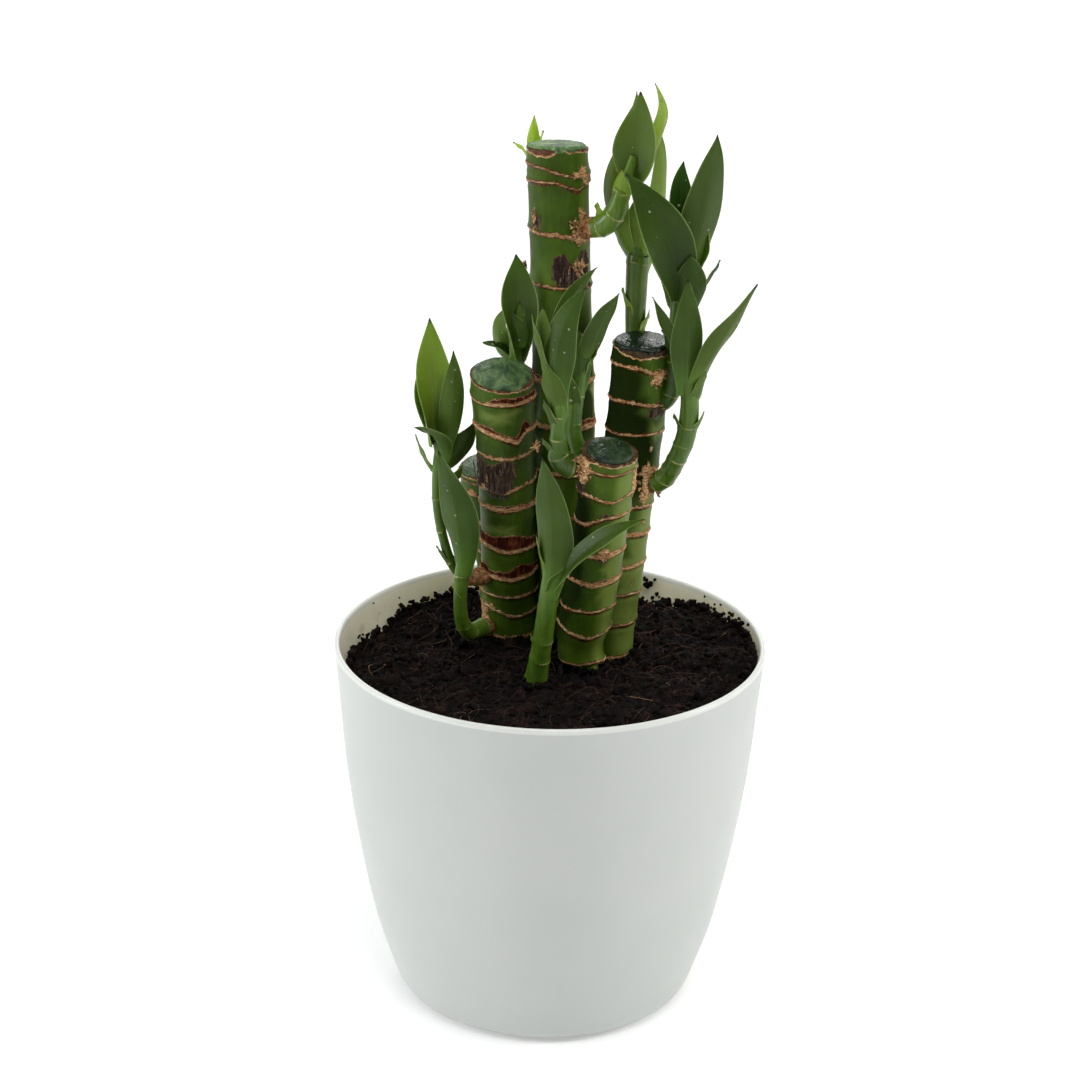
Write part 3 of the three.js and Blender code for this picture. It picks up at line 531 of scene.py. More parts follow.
def ripple(turn, seed, waves=(1, 2, 3, 5, 8), fall=0.8):
    """A smooth random wave round a circle."""
    rng = np.random.default_rng(seed)
    total = np.zeros_like(turn)
    for wave in waves:
        total += np.sin(wave * turn + rng.uniform(0, TAU)) / wave ** fall
    return total


def select_only(piece):
    bpy.ops.object.select_all(action="DESELECT")
    piece.select_set(True)
    bpy.context.view_layer.objects.active = piece


def leave_facing_out():
    """Ends an edit with every face of the piece turned outward."""
    bpy.ops.mesh.select_all(action="SELECT")
    bpy.ops.mesh.normals_make_consistent(inside=False)
    bpy.ops.object.mode_set(mode="OBJECT")


def face_outward(piece):
    select_only(piece)
    bpy.ops.object.mode_set(mode="EDIT")
    leave_facing_out()


def column(name, rows, sides):
    """An upright closed column of unit radius, with its rows a unit apart: a grid rolled up."""
    bpy.ops.object.select_all(action="DESELECT")
    bpy.ops.mesh.primitive_grid_add(x_subdivisions=sides, y_subdivisions=rows, size=2)
    piece = bpy.context.object
    piece.name = piece.data.name = name
    flat = read_points(piece)
    turn = (flat[:, 0] + 1) * math.pi
    write_points(piece, np.column_stack([np.cos(turn), np.sin(turn), (flat[:, 1] + 1) / 2 * rows]))
    bpy.ops.object.mode_set(mode="EDIT")
    bpy.ops.mesh.select_all(action="SELECT")
    bpy.ops.mesh.remove_doubles(threshold=1e-4)
    bpy.ops.mesh.select_mode(type="EDGE")
    for level in (0, rows):
        bpy.ops.mesh.select_all(action="DESELECT")
        body = bmesh.from_edit_mesh(piece.data)
        for edge in body.edges:
            edge.select_set(edge.is_boundary and abs(edge.verts[0].co.z - level) < 0.1)
        bmesh.update_edit_mesh(piece.data)
        bpy.ops.mesh.edge_face_add()
    leave_facing_out()
    return piece


def finish_piece(piece, looks, slot, *nodes, angle=40):
    """Smooth shading, its materials, its body and the plain solids that it stands for. The slot is not used.
    """
    select_only(piece)
    bpy.ops.object.shade_smooth_by_angle(angle=math.radians(angle))
    if looks:
        piece.data.materials.clear()
        for look in looks:
            piece.data.materials.append(look)
    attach(piece, "root")
    if nodes:
        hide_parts(*nodes)


def mesh_of(name, points, faces):
    mesh = bpy.data.meshes.new(name)
    mesh.from_pydata([tuple(p) for p in points], [], [tuple(f) for f in faces])
    mesh.update()
    piece = bpy.data.objects.new(name, mesh)
    bpy.context.collection.objects.link(piece)
    return piece


def loose_bits(name, points, faces, shades, look, angle=60):
    """One piece of soil litter, made of many bits that each have their own shade."""
    piece = mesh_of(name, points, faces)
    write_mark(piece, "shade", shades)
    finish_piece(piece, [look], "soil", angle=angle)


# Pot

POT_OUTSIDE = [(45, 0), (49, 0.8), (52, 2.4), (53.5, 5), (55.6, 11), (57.4, 17), (59.7, 23), (62.7, 36),
               (65.8, 51), (69.1, 71), (71.7, 91), (73.2, 111), (74.6, 126)]
POT_TOP, POT_REACH = 131, 75
POT_WALL = 2.2
POT_FLOOR = 3.0
POT_SIDES = 160
# Radius and height of the rings from the foot's hollow outward, over the lip and round the floor's edge.
POT_FOOT = [(39, 0.8), (40, 0), (45, 0), (47.5, 0.35), (49.6, 1.1), (51.7, 2.3), (53.2, 4.6)]
POT_LIP = [(74.98, 129.6), (74.96, 130.2), (74.6, 130.7), (74.1, 130.9), (73.6, 130.8), (73.2, 130.4),
           (73, 129.7)]
POT_BOTTOM = [(47, 3.6), (43, POT_FLOOR)]
OUTSIDE_LEVELS = (8, 14, 20, 27, 36, 46, 58, 71, 84, 97, 111, 120, 127.5)
INSIDE_LEVELS = (127, 120, 110, 91, 60, 30, 8)


def pot_radius(height):
    levels = [level for _, level in POT_OUTSIDE] + [POT_TOP]
    return np.interp(height, levels, [radius for radius, _ in POT_OUTSIDE] + [POT_REACH])


def bore(height, gap=0.0):
    """Radius inside the pot's wall at a height, less a gap."""
    return float(pot_radius(height)) - POT_WALL - gap


def pot():
    outside = [(float(pot_radius(level)), level) for level in OUTSIDE_LEVELS]
    inside = [(bore(level), level) for level in INSIDE_LEVELS]
    rings = POT_FOOT + outside + POT_LIP + inside + POT_BOTTOM
    bpy.ops.object.select_all(action="DESELECT")
    radius, level = rings[0]
    bpy.ops.mesh.primitive_circle_add(vertices=POT_SIDES, radius=radius * MM, fill_type="NOTHING",
                                      location=(0, 0, level * MM))
    piece = bpy.context.object
    piece.name = piece.data.name = "plant_pot"
    bpy.ops.object.transform_apply(location=True, rotation=True, scale=True)
    bpy.ops.object.mode_set(mode="EDIT")
    bpy.ops.mesh.select_all(action="SELECT")
    for next_radius, next_level in rings[1:]:
        bpy.ops.mesh.extrude_region_move(TRANSFORM_OT_translate={"value": (0, 0, (next_level - level) * MM)})
        share = next_radius / radius
        bpy.ops.transform.resize(value=(share, share, 1), center_override=(0, 0, next_level * MM))
        radius, level = next_radius, next_level
    bpy.ops.mesh.edge_face_add()
    bpy.ops.mesh.select_all(action="DESELECT")
    body = bmesh.from_edit_mesh(piece.data)
    for edge in body.edges:
        edge.select_set(edge.is_boundary)
    bmesh.update_edit_mesh(piece.data)
    bpy.ops.mesh.edge_face_add()
    leave_facing_out()
    spots = read_points(piece) / MM
    reach = np.hypot(spots[:, 0], spots[:, 1])
    write_mark(piece, "inside", (reach < pot_radius(spots[:, 2]) - 1.2) & (spots[:, 2] > 2.5))
    finish_piece(piece, [pot_plastic()], "pot", "pot", angle=50)


# Soil

SOIL_LEVEL = 121
SOIL_GAP = 0.3
# Heights of the soil's rings below its surface.
BURIED_LEVELS = (110, 80, 40, 8, 3.6)
# Heaps and hollows: x, y, reach and rise in mm.
SOIL_HEAPS = [(-42, 52, 18, 3), (38, 58, 15, -2.2), (16, 4, 15, -3), (-4, -16, 8, -1)]


def soil_height(x, y):
    heaps = 1.2 * np.sin(x / 11 + 1) * np.cos(y / 13) + 0.7 * np.sin((x + 1.4 * y) / 7)
    bank = np.maximum(0, x / 30 - 1) ** 2
    for heap_x, heap_y, reach, rise in SOIL_HEAPS:
        heaps = heaps + rise * np.exp(-((x - heap_x) ** 2 + (y - heap_y) ** 2) / reach ** 2)
    return SOIL_LEVEL + 0.05 * x + bank + heaps


def crumble(x, y):
    """Rough crumbs on the soil's surface, in mm."""
    total = 0
    for size, depth in ((9, 1.2), (4.2, 1.2), (1.9, 1.0), (0.95, 0.5)):
        total += depth * noise.noise(Vector((x / size, y / size, size)))
    lumps = noise.cell(Vector((x / 2.6, y / 2.6, 0)))
    return total + 0.35 * lumps


def soil():
    bpy.ops.object.select_all(action="DESELECT")
    bpy.ops.mesh.primitive_grid_add(x_subdivisions=190, y_subdivisions=190, size=146 * MM,
                                    location=(0, 0, SOIL_LEVEL * MM))
    piece = bpy.context.object
    piece.name = piece.data.name = "potting_soil"
    bpy.ops.object.transform_apply(location=True, rotation=True, scale=True)
    bpy.ops.object.mode_set(mode="EDIT")
    bpy.ops.mesh.select_all(action="DESELECT")
    body = bmesh.from_edit_mesh(piece.data)
    wall = bore(SOIL_LEVEL, SOIL_GAP) * MM
    for point in body.verts:
        point.select_set(math.hypot(point.co.x, point.co.y) > wall)
    body.select_flush_mode()
    bmesh.update_edit_mesh(piece.data)
    bpy.ops.mesh.delete(type="VERT")
    body = bmesh.from_edit_mesh(piece.data)
    for edge in body.edges:
        if edge.is_boundary:
            for point in edge.verts:
                reach = math.hypot(point.co.x, point.co.y)
                point.co.x *= wall / reach
                point.co.y *= wall / reach
    for point in body.verts:
        x, y = point.co.x / MM, point.co.y / MM
        point.co.z = (float(soil_height(x, y)) + crumble(x, y)) * MM
        limit = bore(point.co.z / MM, 0.1) * MM
        reach = math.hypot(point.co.x, point.co.y)
        if reach > limit or reach > wall - 1e-6:
            point.co.x *= limit / reach
            point.co.y *= limit / reach
    for edge in body.edges:
        edge.select_set(edge.is_boundary)
    bmesh.update_edit_mesh(piece.data)
    for level in BURIED_LEVELS:
        bpy.ops.mesh.extrude_region_move()
        body = bmesh.from_edit_mesh(piece.data)
        for point in body.verts:
            if point.select:
                share = bore(level, SOIL_GAP) * MM / math.hypot(point.co.x, point.co.y)
                point.co = (point.co.x * share, point.co.y * share, level * MM)
        bmesh.update_edit_mesh(piece.data)
    bpy.ops.mesh.edge_face_add()
    leave_facing_out()
    finish_piece(piece, [peat("peat", False)], "soil", "soil", angle=30)


def lump_shape(rng, size):
    """One crumb: a lumpy block of 24 faces, as points round the origin."""
    spots = LUMP_POINTS * rng.uniform(0.72, 1.28, (len(LUMP_POINTS), 1))
    spots = spots * rng.uniform(0.6, 1.25, 3)
    turn = np.array(Matrix.Rotation(rng.uniform(0, TAU), 3, Vector(rng.normal(size=3)).normalized()))
    return spots @ turn.T * size


def lump_template():
    bpy.ops.object.select_all(action="DESELECT")
    bpy.ops.mesh.primitive_cube_add(size=1.4)
    block = bpy.context.object
    bpy.ops.object.mode_set(mode="EDIT")
    bpy.ops.mesh.subdivide(number_cuts=1)
    bpy.ops.transform.tosphere(value=0.8)
    bpy.ops.object.mode_set(mode="OBJECT")
    spots = read_points(block)
    faces = [tuple(face.vertices) for face in block.data.polygons]
    bpy.data.objects.remove(block)
    return spots, faces


LUMP_POINTS, LUMP_FACES = lump_template()


def add_lump(points, faces, rng, centre, size):
    first = len(points)
    points.extend((lump_shape(rng, size) + centre) * MM)
    faces.extend([tuple(first + i for i in face) for face in LUMP_FACES])


# Crumbs that cling to the pot's inner wall: azimuth, height and size.
CLINGING = [(60.6, 128.3, 1.1), (60.1, 126.4, 1.5), (59.3, 127.6, 1.3), (58.3, 129.2, 0.8),
            (61.4, 128.9, 0.7), (39.3, 129.3, 0.6), (32, 129.4, 0.5), (27, 128.6, 0.8), (151.9, 129, 0.4),
            (118.3, 128.7, 0.5), (112, 122.5, 0.9), (64, 125, 1.3), (57, 124.5, 1.1), (140, 126, 0.5),
            (24, 127, 0.7), (36, 126.5, 0.6)]


def clinging_crumbs(name, seed):
    rng = np.random.default_rng(seed)
    points, faces = [], []
    for azimuth, level, size in CLINGING:
        reach = bore(level, 0.45 * size)
        swing = math.radians(azimuth)
        middle = np.array((reach * math.cos(swing), reach * math.sin(swing), level))
        for _ in range(3):
            spot = middle + rng.normal(0, 0.3 * size, 3)
            spot[:2] *= min(1, reach / math.hypot(spot[0], spot[1]))
            add_lump(points, faces, rng, spot, size * rng.uniform(0.4, 0.8))
    loose_bits(name, points, faces, np.zeros(len(points)), PEAT_CRUMB)


def crumbs(name, seed, count, sizes, ring=False):
    """Loose crumbs lying on the soil, or climbing the pot's wall where ring is set."""
    rng = np.random.default_rng(seed)
    points, faces, shades = [], [], []
    wall = bore(SOIL_LEVEL, 0.5)
    for _ in range(count):
        reach = wall - abs(rng.normal(0, 1.1)) if ring else wall * math.sqrt(rng.uniform())
        turn = rng.uniform(0, TAU)
        size = sizes[0] + (sizes[1] - sizes[0]) * rng.uniform() ** 2.5
        reach = min(reach, wall - size)
        x, y = reach * math.cos(turn), reach * math.sin(turn)
        base = float(soil_height(x, y)) + crumble(x, y)
        climb = abs(rng.normal(0, 1.7)) if ring else rng.uniform(-0.3, 0.35) * size
        add_lump(points, faces, rng, np.array((x, y, base + climb)), size)
        shades.extend([max(0.0, rng.normal(0.1, 0.25))] * len(LUMP_POINTS))
    loose_bits(name, points, faces, np.clip(shades, 0, 0.8), PEAT_CRUMB)


# Where a cane or stem leaves the soil: x, y and radius.
FEET = [(-4.5, -14.8, 4.4), (-14.8, 29.5, 10.4), (14.9, -3.5, 3.8), (19.6, 15.5, 10.3), (-28.6, 14.4, 3.6)]


def foot_crumbs(name, seed):
    """Crumbs pushed up against the feet of the canes and stems."""
    rng = np.random.default_rng(seed)
    points, faces = [], []
    for x, y, radius in FEET:
        for _ in range(int(12 * radius)):
            turn, size = rng.uniform(0, TAU), rng.uniform(0.5, 1.5)
            reach = radius + size * rng.uniform(0.3, 1.3)
            spot = np.array((x + reach * math.cos(turn), y + reach * math.sin(turn), 0))
            spot[2] = float(soil_height(spot[0], spot[1])) + rng.uniform(0, 1.7)
            add_lump(points, faces, rng, spot, size)
    loose_bits(name, points, faces, np.zeros(len(points)), PEAT_CRUMB)


def strand(points, radius):
    """A thin three-sided strand along a path: its points and faces."""
    points = np.asarray(points)
    ahead = np.gradient(points, axis=0)
    ahead /= np.linalg.norm(ahead, axis=1)[:, None]
    side = np.cross(ahead, (0.02, 0.01, 1.0))
    side /= np.linalg.norm(side, axis=1)[:, None]
    lift = np.cross(side, ahead)
    taper = np.sin(np.linspace(0.25, math.pi - 0.25, len(points)))[:, None] ** 0.4
    spots, faces = [], []
    for k in range(3):
        angle = TAU * k / 3
        spots.append(points + (side * math.cos(angle) + lift * math.sin(angle)) * radius * taper)
    spots = np.stack(spots, axis=1).reshape(-1, 3)
    for row in range(len(points) - 1):
        for k in range(3):
            a, b = 3 * row + k, 3 * row + (k + 1) % 3
            faces.append((a, b, b + 3, a + 3))
    last = 3 * (len(points) - 1)
    faces += [(2, 1, 0), (last, last + 1, last + 2)]
    return spots, faces


def fibres(name, seed, count):
    """Coconut fibres, arched and half sunk in the soil."""
    rng = np.random.default_rng(seed)
    points, faces, shades = [], [], []
    steps = 10
    for _ in range(count):
        reach = 68 * math.sqrt(rng.uniform())
        turn = rng.uniform(0, TAU)
        x, y = reach * math.cos(turn), reach * math.sin(turn)
        length = rng.uniform(4, 15)
        heading, bend = rng.uniform(0, TAU), rng.normal(0, 0.22)
        arch = rng.uniform(-0.2, 2.2)
        path = []
        for k in range(steps):
            path.append((x, y))
            x += math.cos(heading) * length / steps
            y += math.sin(heading) * length / steps
            heading += bend + rng.normal(0, 0.12)
        if max(math.hypot(*p) for p in path) > 69:
            continue
        heights = [float(soil_height(px, py)) + 0.6 for px, py in path]
        bow = [h + arch * math.sin(math.pi * k / (steps - 1)) for k, h in enumerate(heights)]
        spots, strips = strand([(px, py, z) for (px, py), z in zip(path, bow)], rng.uniform(0.05, 0.1))
        first = len(points)
        points.extend(spots * MM)
        faces.extend([tuple(first + i for i in face) for face in strips])
        shades.extend([float(rng.uniform() < 0.06) * rng.uniform(0.4, 1)] * len(spots))
    loose_bits(name, points, faces, shades, root_fibre(), angle=80)


# Canes

CANE_BURIED = 46
# A mark tells how deep inside a patch a point lies, or how far outside, up to this many mm.
DEPTH_LIMIT = 6.0
# axis: points up the middle, from the soil to the cut. profile: (height, radius). cut: where the cut end
# faces. wax: how thin and pale the wax is, from 0 to 1. cap: the wax's radius.
# rings: the leaf scars as (line strength, brown band above, brown band below, {azimuth: height}), heights in
# mm above the soil, azimuths in degrees with -90 to the front and 0 to the right. A band above is a number
# or a table by azimuth.
# rim: how far the torn rind reaches below the cut, by azimuth. waxed: how much of it the wax has darkened.
# drips: runs of wax over the rim as (azimuth, length, half width in degrees).
# husks, flakes, pale and shade patches: (azimuth, height, half width, half height). The long pale strips
# down the lit right sides are painted light, the short ones pale rind; shade patches paint dark green shade.
CANES = {
    "tall": dict(
        profile=[(0, 10.1), (8, 10.6), (95, 10.5), (125, 10.1)], cut=(0, 0.1, 1), wax=1.0, cap=9.9,
        axis=[(5.8, 33, 121), (3.4, 31.5, 197), (1.4, 29.5, 245), (-1.1, 27, 299.3)],
        rim={-180: 0.8, -135: 1.7, -111: 2.4, -95: 1.2, -78: 0.5, -50: 0.8, -20: 1.2},
        drips=[(-85, 0.9, 9), (-60, 0.6, 7)],
        rings=[(0.7, 0, 0, {0: 15}), (0.8, 1, 0.5, {0: 31}), (0.7, 0.5, 0.8, {0: 47}),
               (0.8, 1, 0.5, {0: 63}), (0.9, 2.2, 1.0, {0: 80}), (0.9, 1.8, 1.4, {0: 97}),
               (0.6, 0, 0.6, {0: 114}),
               (1, 0.4, 0.5, {-180: 132.5, -111: 131.6, -40: 130.5}),
               (0.9, 0.3, 1.0, {-180: 150.8, -96: 150.5, -26: 147.4}),
               (1, 0, 0, {-180: 167.4, -93: 168.0, -50: 165.6, -15: 167.8, 60: 168}),
               (1, 0, 0, {-156: 173.6, -108: 171.8, -60: 170.2, -20: 169.6, 60: 172})],
        husks=[(-87, 136.9, 3.2, 5.4), (-64, 136, 5.6, 4.8), (-42, 137.4, 3.8, 5.2), (-137, 154, 1.7, 3.8)],
        flakes=[(-40, 170.8, 3.6, 1.9), (-24, 168.4, 2.6, 1.8), (-139, 154.6, 0.7, 3.0),
                (-51, 138.8, 2.2, 1.9), (-36, 151.6, 2.6, 5.0), (-50, 149.0, 3.4, 1.4)],
        pale_and_lit_patches=[(-20, 80, 9, 200)], shade_patches=[(-45, 95, 6, 30), (-172, 78, 6, 46)]),
    "left": dict(
        profile=[(0, 9.8), (75, 9.9), (92, 10.8)], cut=(0.03, -0.25, 1), wax=0.62, cap=10.2,
        axis=[(-14.8, 29.5, 121), (-15, 26, 144), (-15.2, 23, 162.5), (-16.6, 17, 194.5),
              (-18.2, 12, 223.3)],
        rim={-180: 0.8, -100: 0.5, -30: 1.4}, drips=[(-60, 0.5, 14)],
        rings=[(0.9, 0.8, 0.6, {0: 1.8}), (1, 0.5, 0.8, {-180: 15, -136: 13.5, -83: 10.5, 0: 11.5}),
               (0.9, 0.6, 0.5, {0: 18.6}),
               (1, {-180: 3, -140: 5, -90: 4.4, -60: 6.4, 0: 3}, 0.3, {-150: 26.4, -83: 25.2, -20: 27}),
               (0.9, 4.4, 0.4, {-150: 38, -87: 36.1, -30: 37.5}),
               (0.9, 1.4, 0.9, {-150: 54, -93: 52.9, -30: 54.5}),
               (0.8, 1.0, 0.5, {-150: 61, -93: 60, -51: 63.3, 0: 64}),
               (0.38, 0.5, 0.8, {-150: 74.5, -90: 73.5, -30: 75}),
               (1, {-180: 1.4, -130: 2.8, -100: 2.4, -80: 2.6, -60: 4.4, -50: 7.4, -42: 5, -30: 3, 0: 1},
                0.6, {-171: 84.7, -98: 82.0, -65: 79.4, -45: 83.5, 0: 84}),
               (1, {-180: 0.2, -120: 0.8, -104: 3.0, -60: 4.0, -20: 4.0, 60: 0.4}, 0.2, {0: 95.7})],
        husks=[(-130, 66, 8.4, 5.6), (-92, 69.6, 5.4, 3.0), (-108, 61.4, 3.2, 3.8)],
        flakes=[(-148, 8.5, 2.6, 5), (-152, 2.6, 4.4, 2.6), (-95, 1.2, 6, 1.2), (-135, 61.5, 2.2, 1),
                (-124, 13.4, 2, 1.2)],
        pale_and_lit_patches=[(-150, 12, 3.8, 11), (-100, 45, 7, 3), (-95, 90, 8, 4)], shade_patches=[(-5, 50, 5, 60)]),
    "front": dict(
        profile=[(0, 3.2), (5, 3.2), (6.5, 7.4), (14, 7.9), (20, 8.9)], cut=(0.12, -0.25, 1),
        wax=0.14, cap=7.8,
        axis=[(14.9, -3.5, 119), (11, -4, 127), (11.6, -5.5, 140), (12.9, -7.5, 149), (15.8, -12, 173),
              (18.7, -20, 207.7)],
        rim={-180: 1.2, -120: 0.7, -90: 0.6, -30: 0.8}, waxed=0.6, drips=[],
        rings=[(1, 0.3, 0.3, {0: 7.6}), (1, 0.5, 0.6, {-161: 22.2, -82: 18.1, 0: 21}),
               (0.9, 0.4, 0.3, {0: 29.5}), (1, 1.4, 0.5, {-150: 41, -89: 39.3, 0: 41.5}),
               (0.9, 1.0, 0.4, {-130: 51.5, -80: 50.5, 0: 52.5}),
               (0.8, 0.8, 0.5, {-180: 63.5, -127: 62.7, -84: 66.6, 0: 67.5}),
               (1, 0.5, 0.3, {-157: 75.1, -75: 72.3, -10: 76}), (0.8, 0.2, 0.2, {0: 85})],
        husks=[(-84, 67.6, 2.6, 0.8), (-176, 78, 5, 5), (-78, 50, 2.2, 1.4)],
        flakes=[(-76, 52.4, 2.6, 1.6), (-150, 84, 3.2, 4.5), (-10, 78, 2.2, 6)],
        pale_and_lit_patches=[(-40, 40, 6, 200), (-60, 46, 3.4, 3)], shade_patches=[(-163, 50, 7.7, 42)]),
    "right": dict(
        profile=[(0, 9.8), (90, 9.7)], cut=(0, -0.04, 1), wax=0.0, cap=9.5,
        axis=[(19.6, 15.5, 121), (22.6, 14, 154), (24.7, 13, 177), (28.3, 11, 214), (29.1, 10, 236.4)],
        rim={-180: 0.3, -150: 0.4, -132: 1.8, -110: 2.5, -80: 2.7, -50: 2.3, -20: 2.9}, waxed=1,
        drips=[(-70, 0.8, 16)],
        rings=[(1, 0.5, 0.8, {0: 0.6}), (1, 0.2, 0.2, {0: 13.2}), (1, 0.3, 0.4, {0: 24.8}),
               (0.9, 1.6, 0.6, {0: 35.7}), (1, 1.4, 0.5, {0: 47.3}), (0.9, 0.4, 0.4, {0: 58.1}),
               (0.5, 0.4, 0.4, {0: 71}), (0.8, 0.3, 0.3, {0: 85.1}), (0.9, 0.5, 0.6, {-106: 97, -40: 95}),
               (1, 0.7, 0.4, {-146: 109.6, -91: 109.4, -54: 107, 0: 108})],
        husks=[(-46, 94, 3.5, 3.0)],
        flakes=[(-54, 105.8, 3.4, 2.3), (-56, 80.1, 0.8, 1.3), (-50, 66.5, 2.3, 6.5), (-44, 70, 3, 2.4),
                (-48, 52.5, 0.7, 0.9), (-50, 30, 0.5, 0.8)],
        pale_and_lit_patches=[(-20, 34, 13, 40), (-48, 86, 4, 4)], shade_patches=[(-140, 92, 14, 30)]),
    "short": dict(
        profile=[(0, 9.8)], cut=(-0.12, -0.12, 1), wax=0.4, cap=9.6,
        axis=[(-14.5, 52.5, 121), (-18.5, 50, 145.4), (-23.8, 45, 178.3)], rim={0: 0.9}, drips=[],
        rings=[(0.9, 0.6, 0.4, {0: 12}), (0.9, 0.8, 0.5, {0: 25}), (0.9, 0.8, 0.5, {0: 37.4}),
               (1, 0.8, 0.4, {0: 49.4}), (1, 0.2, 0.2, {0: 54.9})],
        husks=[], flakes=[(-130, 50.5, 3.0, 1.2)], pale_and_lit_patches=[], shade_patches=[]),
}


def axis_at(cane, heights):
    """Middle of the cane at heights above its soil point, on a smooth line through its axis points."""
    points = np.array(cane["axis"], float)
    levels = points[:, 2] - points[0, 2]
    slopes = np.gradient(points[:, :2], levels, axis=0)
    slopes[0] = 0
    spot = np.clip(heights, 0, levels[-1])
    k = np.clip(np.searchsorted(levels, spot, side="right") - 1, 0, len(levels) - 2)
    run = levels[k + 1] - levels[k]
    t = ((spot - levels[k]) / run)[:, None]
    run = run[:, None]
    blend = ((2 * t ** 3 - 3 * t ** 2 + 1) * points[k, :2] + (t ** 3 - 2 * t ** 2 + t) * run * slopes[k]
             + (3 * t ** 2 - 2 * t ** 3) * points[k + 1, :2] + (t ** 3 - t ** 2) * run * slopes[k + 1])
    return np.column_stack([blend, points[0, 2] + heights])


def around_cane(values, turn):
    """A value at each azimuth: one number, or a table by azimuth that is carried once round the cane."""
    if not isinstance(values, dict):
        return np.full(len(turn), float(values))
    degrees = sorted(values)
    levels = [values[a] for a in degrees]
    degrees = [degrees[-1] - 360] + degrees + [degrees[0] + 360]
    return np.interp(np.degrees(turn), degrees, [levels[-1]] + levels + [levels[0]])


def ring_heights(levels, turn, seed):
    """Height of a leaf scar at each azimuth, from its measured points, with a natural waver."""
    return around_cane(levels, turn) + 0.28 * ripple(turn, seed, (2, 3, 5, 9, 14), 0.7)


def patch_depth(patches, turn, height, radius, seed):
    """How far inside the nearest patch a point lies, in mm, negative outside."""
    depth = np.full(len(turn), -DEPTH_LIMIT)
    for k, (azimuth, level, half_width, half_height) in enumerate(patches):
        swing = np.radians(azimuth)
        across = (np.mod(turn - swing + math.pi, TAU) - math.pi) * radius
        reach = (np.abs(across / half_width) ** 3 + np.abs((height - level) / half_height) ** 3) ** (1 / 3)
        wander = 1 + 0.22 * ripple(np.arctan2(height - level, across), seed + k, (2, 3, 5, 7, 11), 0.5)
        depth = np.maximum(depth, (wander - reach) * min(half_width, half_height))
    return np.clip(depth, -DEPTH_LIMIT, DEPTH_LIMIT)


def ring_marks(build, number, turn, height):
    """Leaf scars and brown bands: marks on each point, in mm, and how far they swell the cane there."""
    gap = np.full(len(turn), 9.0)
    line = np.zeros(len(turn))
    under = np.zeros(len(turn))
    band = np.full(len(turn), -DEPTH_LIMIT)
    swell = np.zeros(len(turn))
    for k, (strength, above, below, levels) in enumerate(build["rings"]):
        seed = 100 * number + k
        off = height - ring_heights(levels, turn, seed)
        nearer = np.abs(off) < gap
        gap = np.where(nearer, np.abs(off), gap)
        line = np.where(nearer, strength, line)
        deep = 0.5 + 0.5 * ripple(turn, seed + 30, (1, 3, 6), 0.5)
        under = np.maximum(under, deep * np.exp(-((off + 0.9) / 0.7) ** 2))
        above = around_cane(above, turn) * (1 + 0.3 * ripple(turn, seed + 50, (1, 2, 4), 0.6))
        inside = np.where(above + below > 0.1, np.minimum(off + below, above - off), -DEPTH_LIMIT)
        band = np.maximum(band, inside)
        swell += 0.36 * np.exp(-(off / 0.6) ** 2) * strength + 0.35 * np.exp(-(off / 3.2) ** 2)
        swell -= 0.3 * np.exp(-((off + 1.5) / 0.7) ** 2)
    return gap, line, under, band, swell


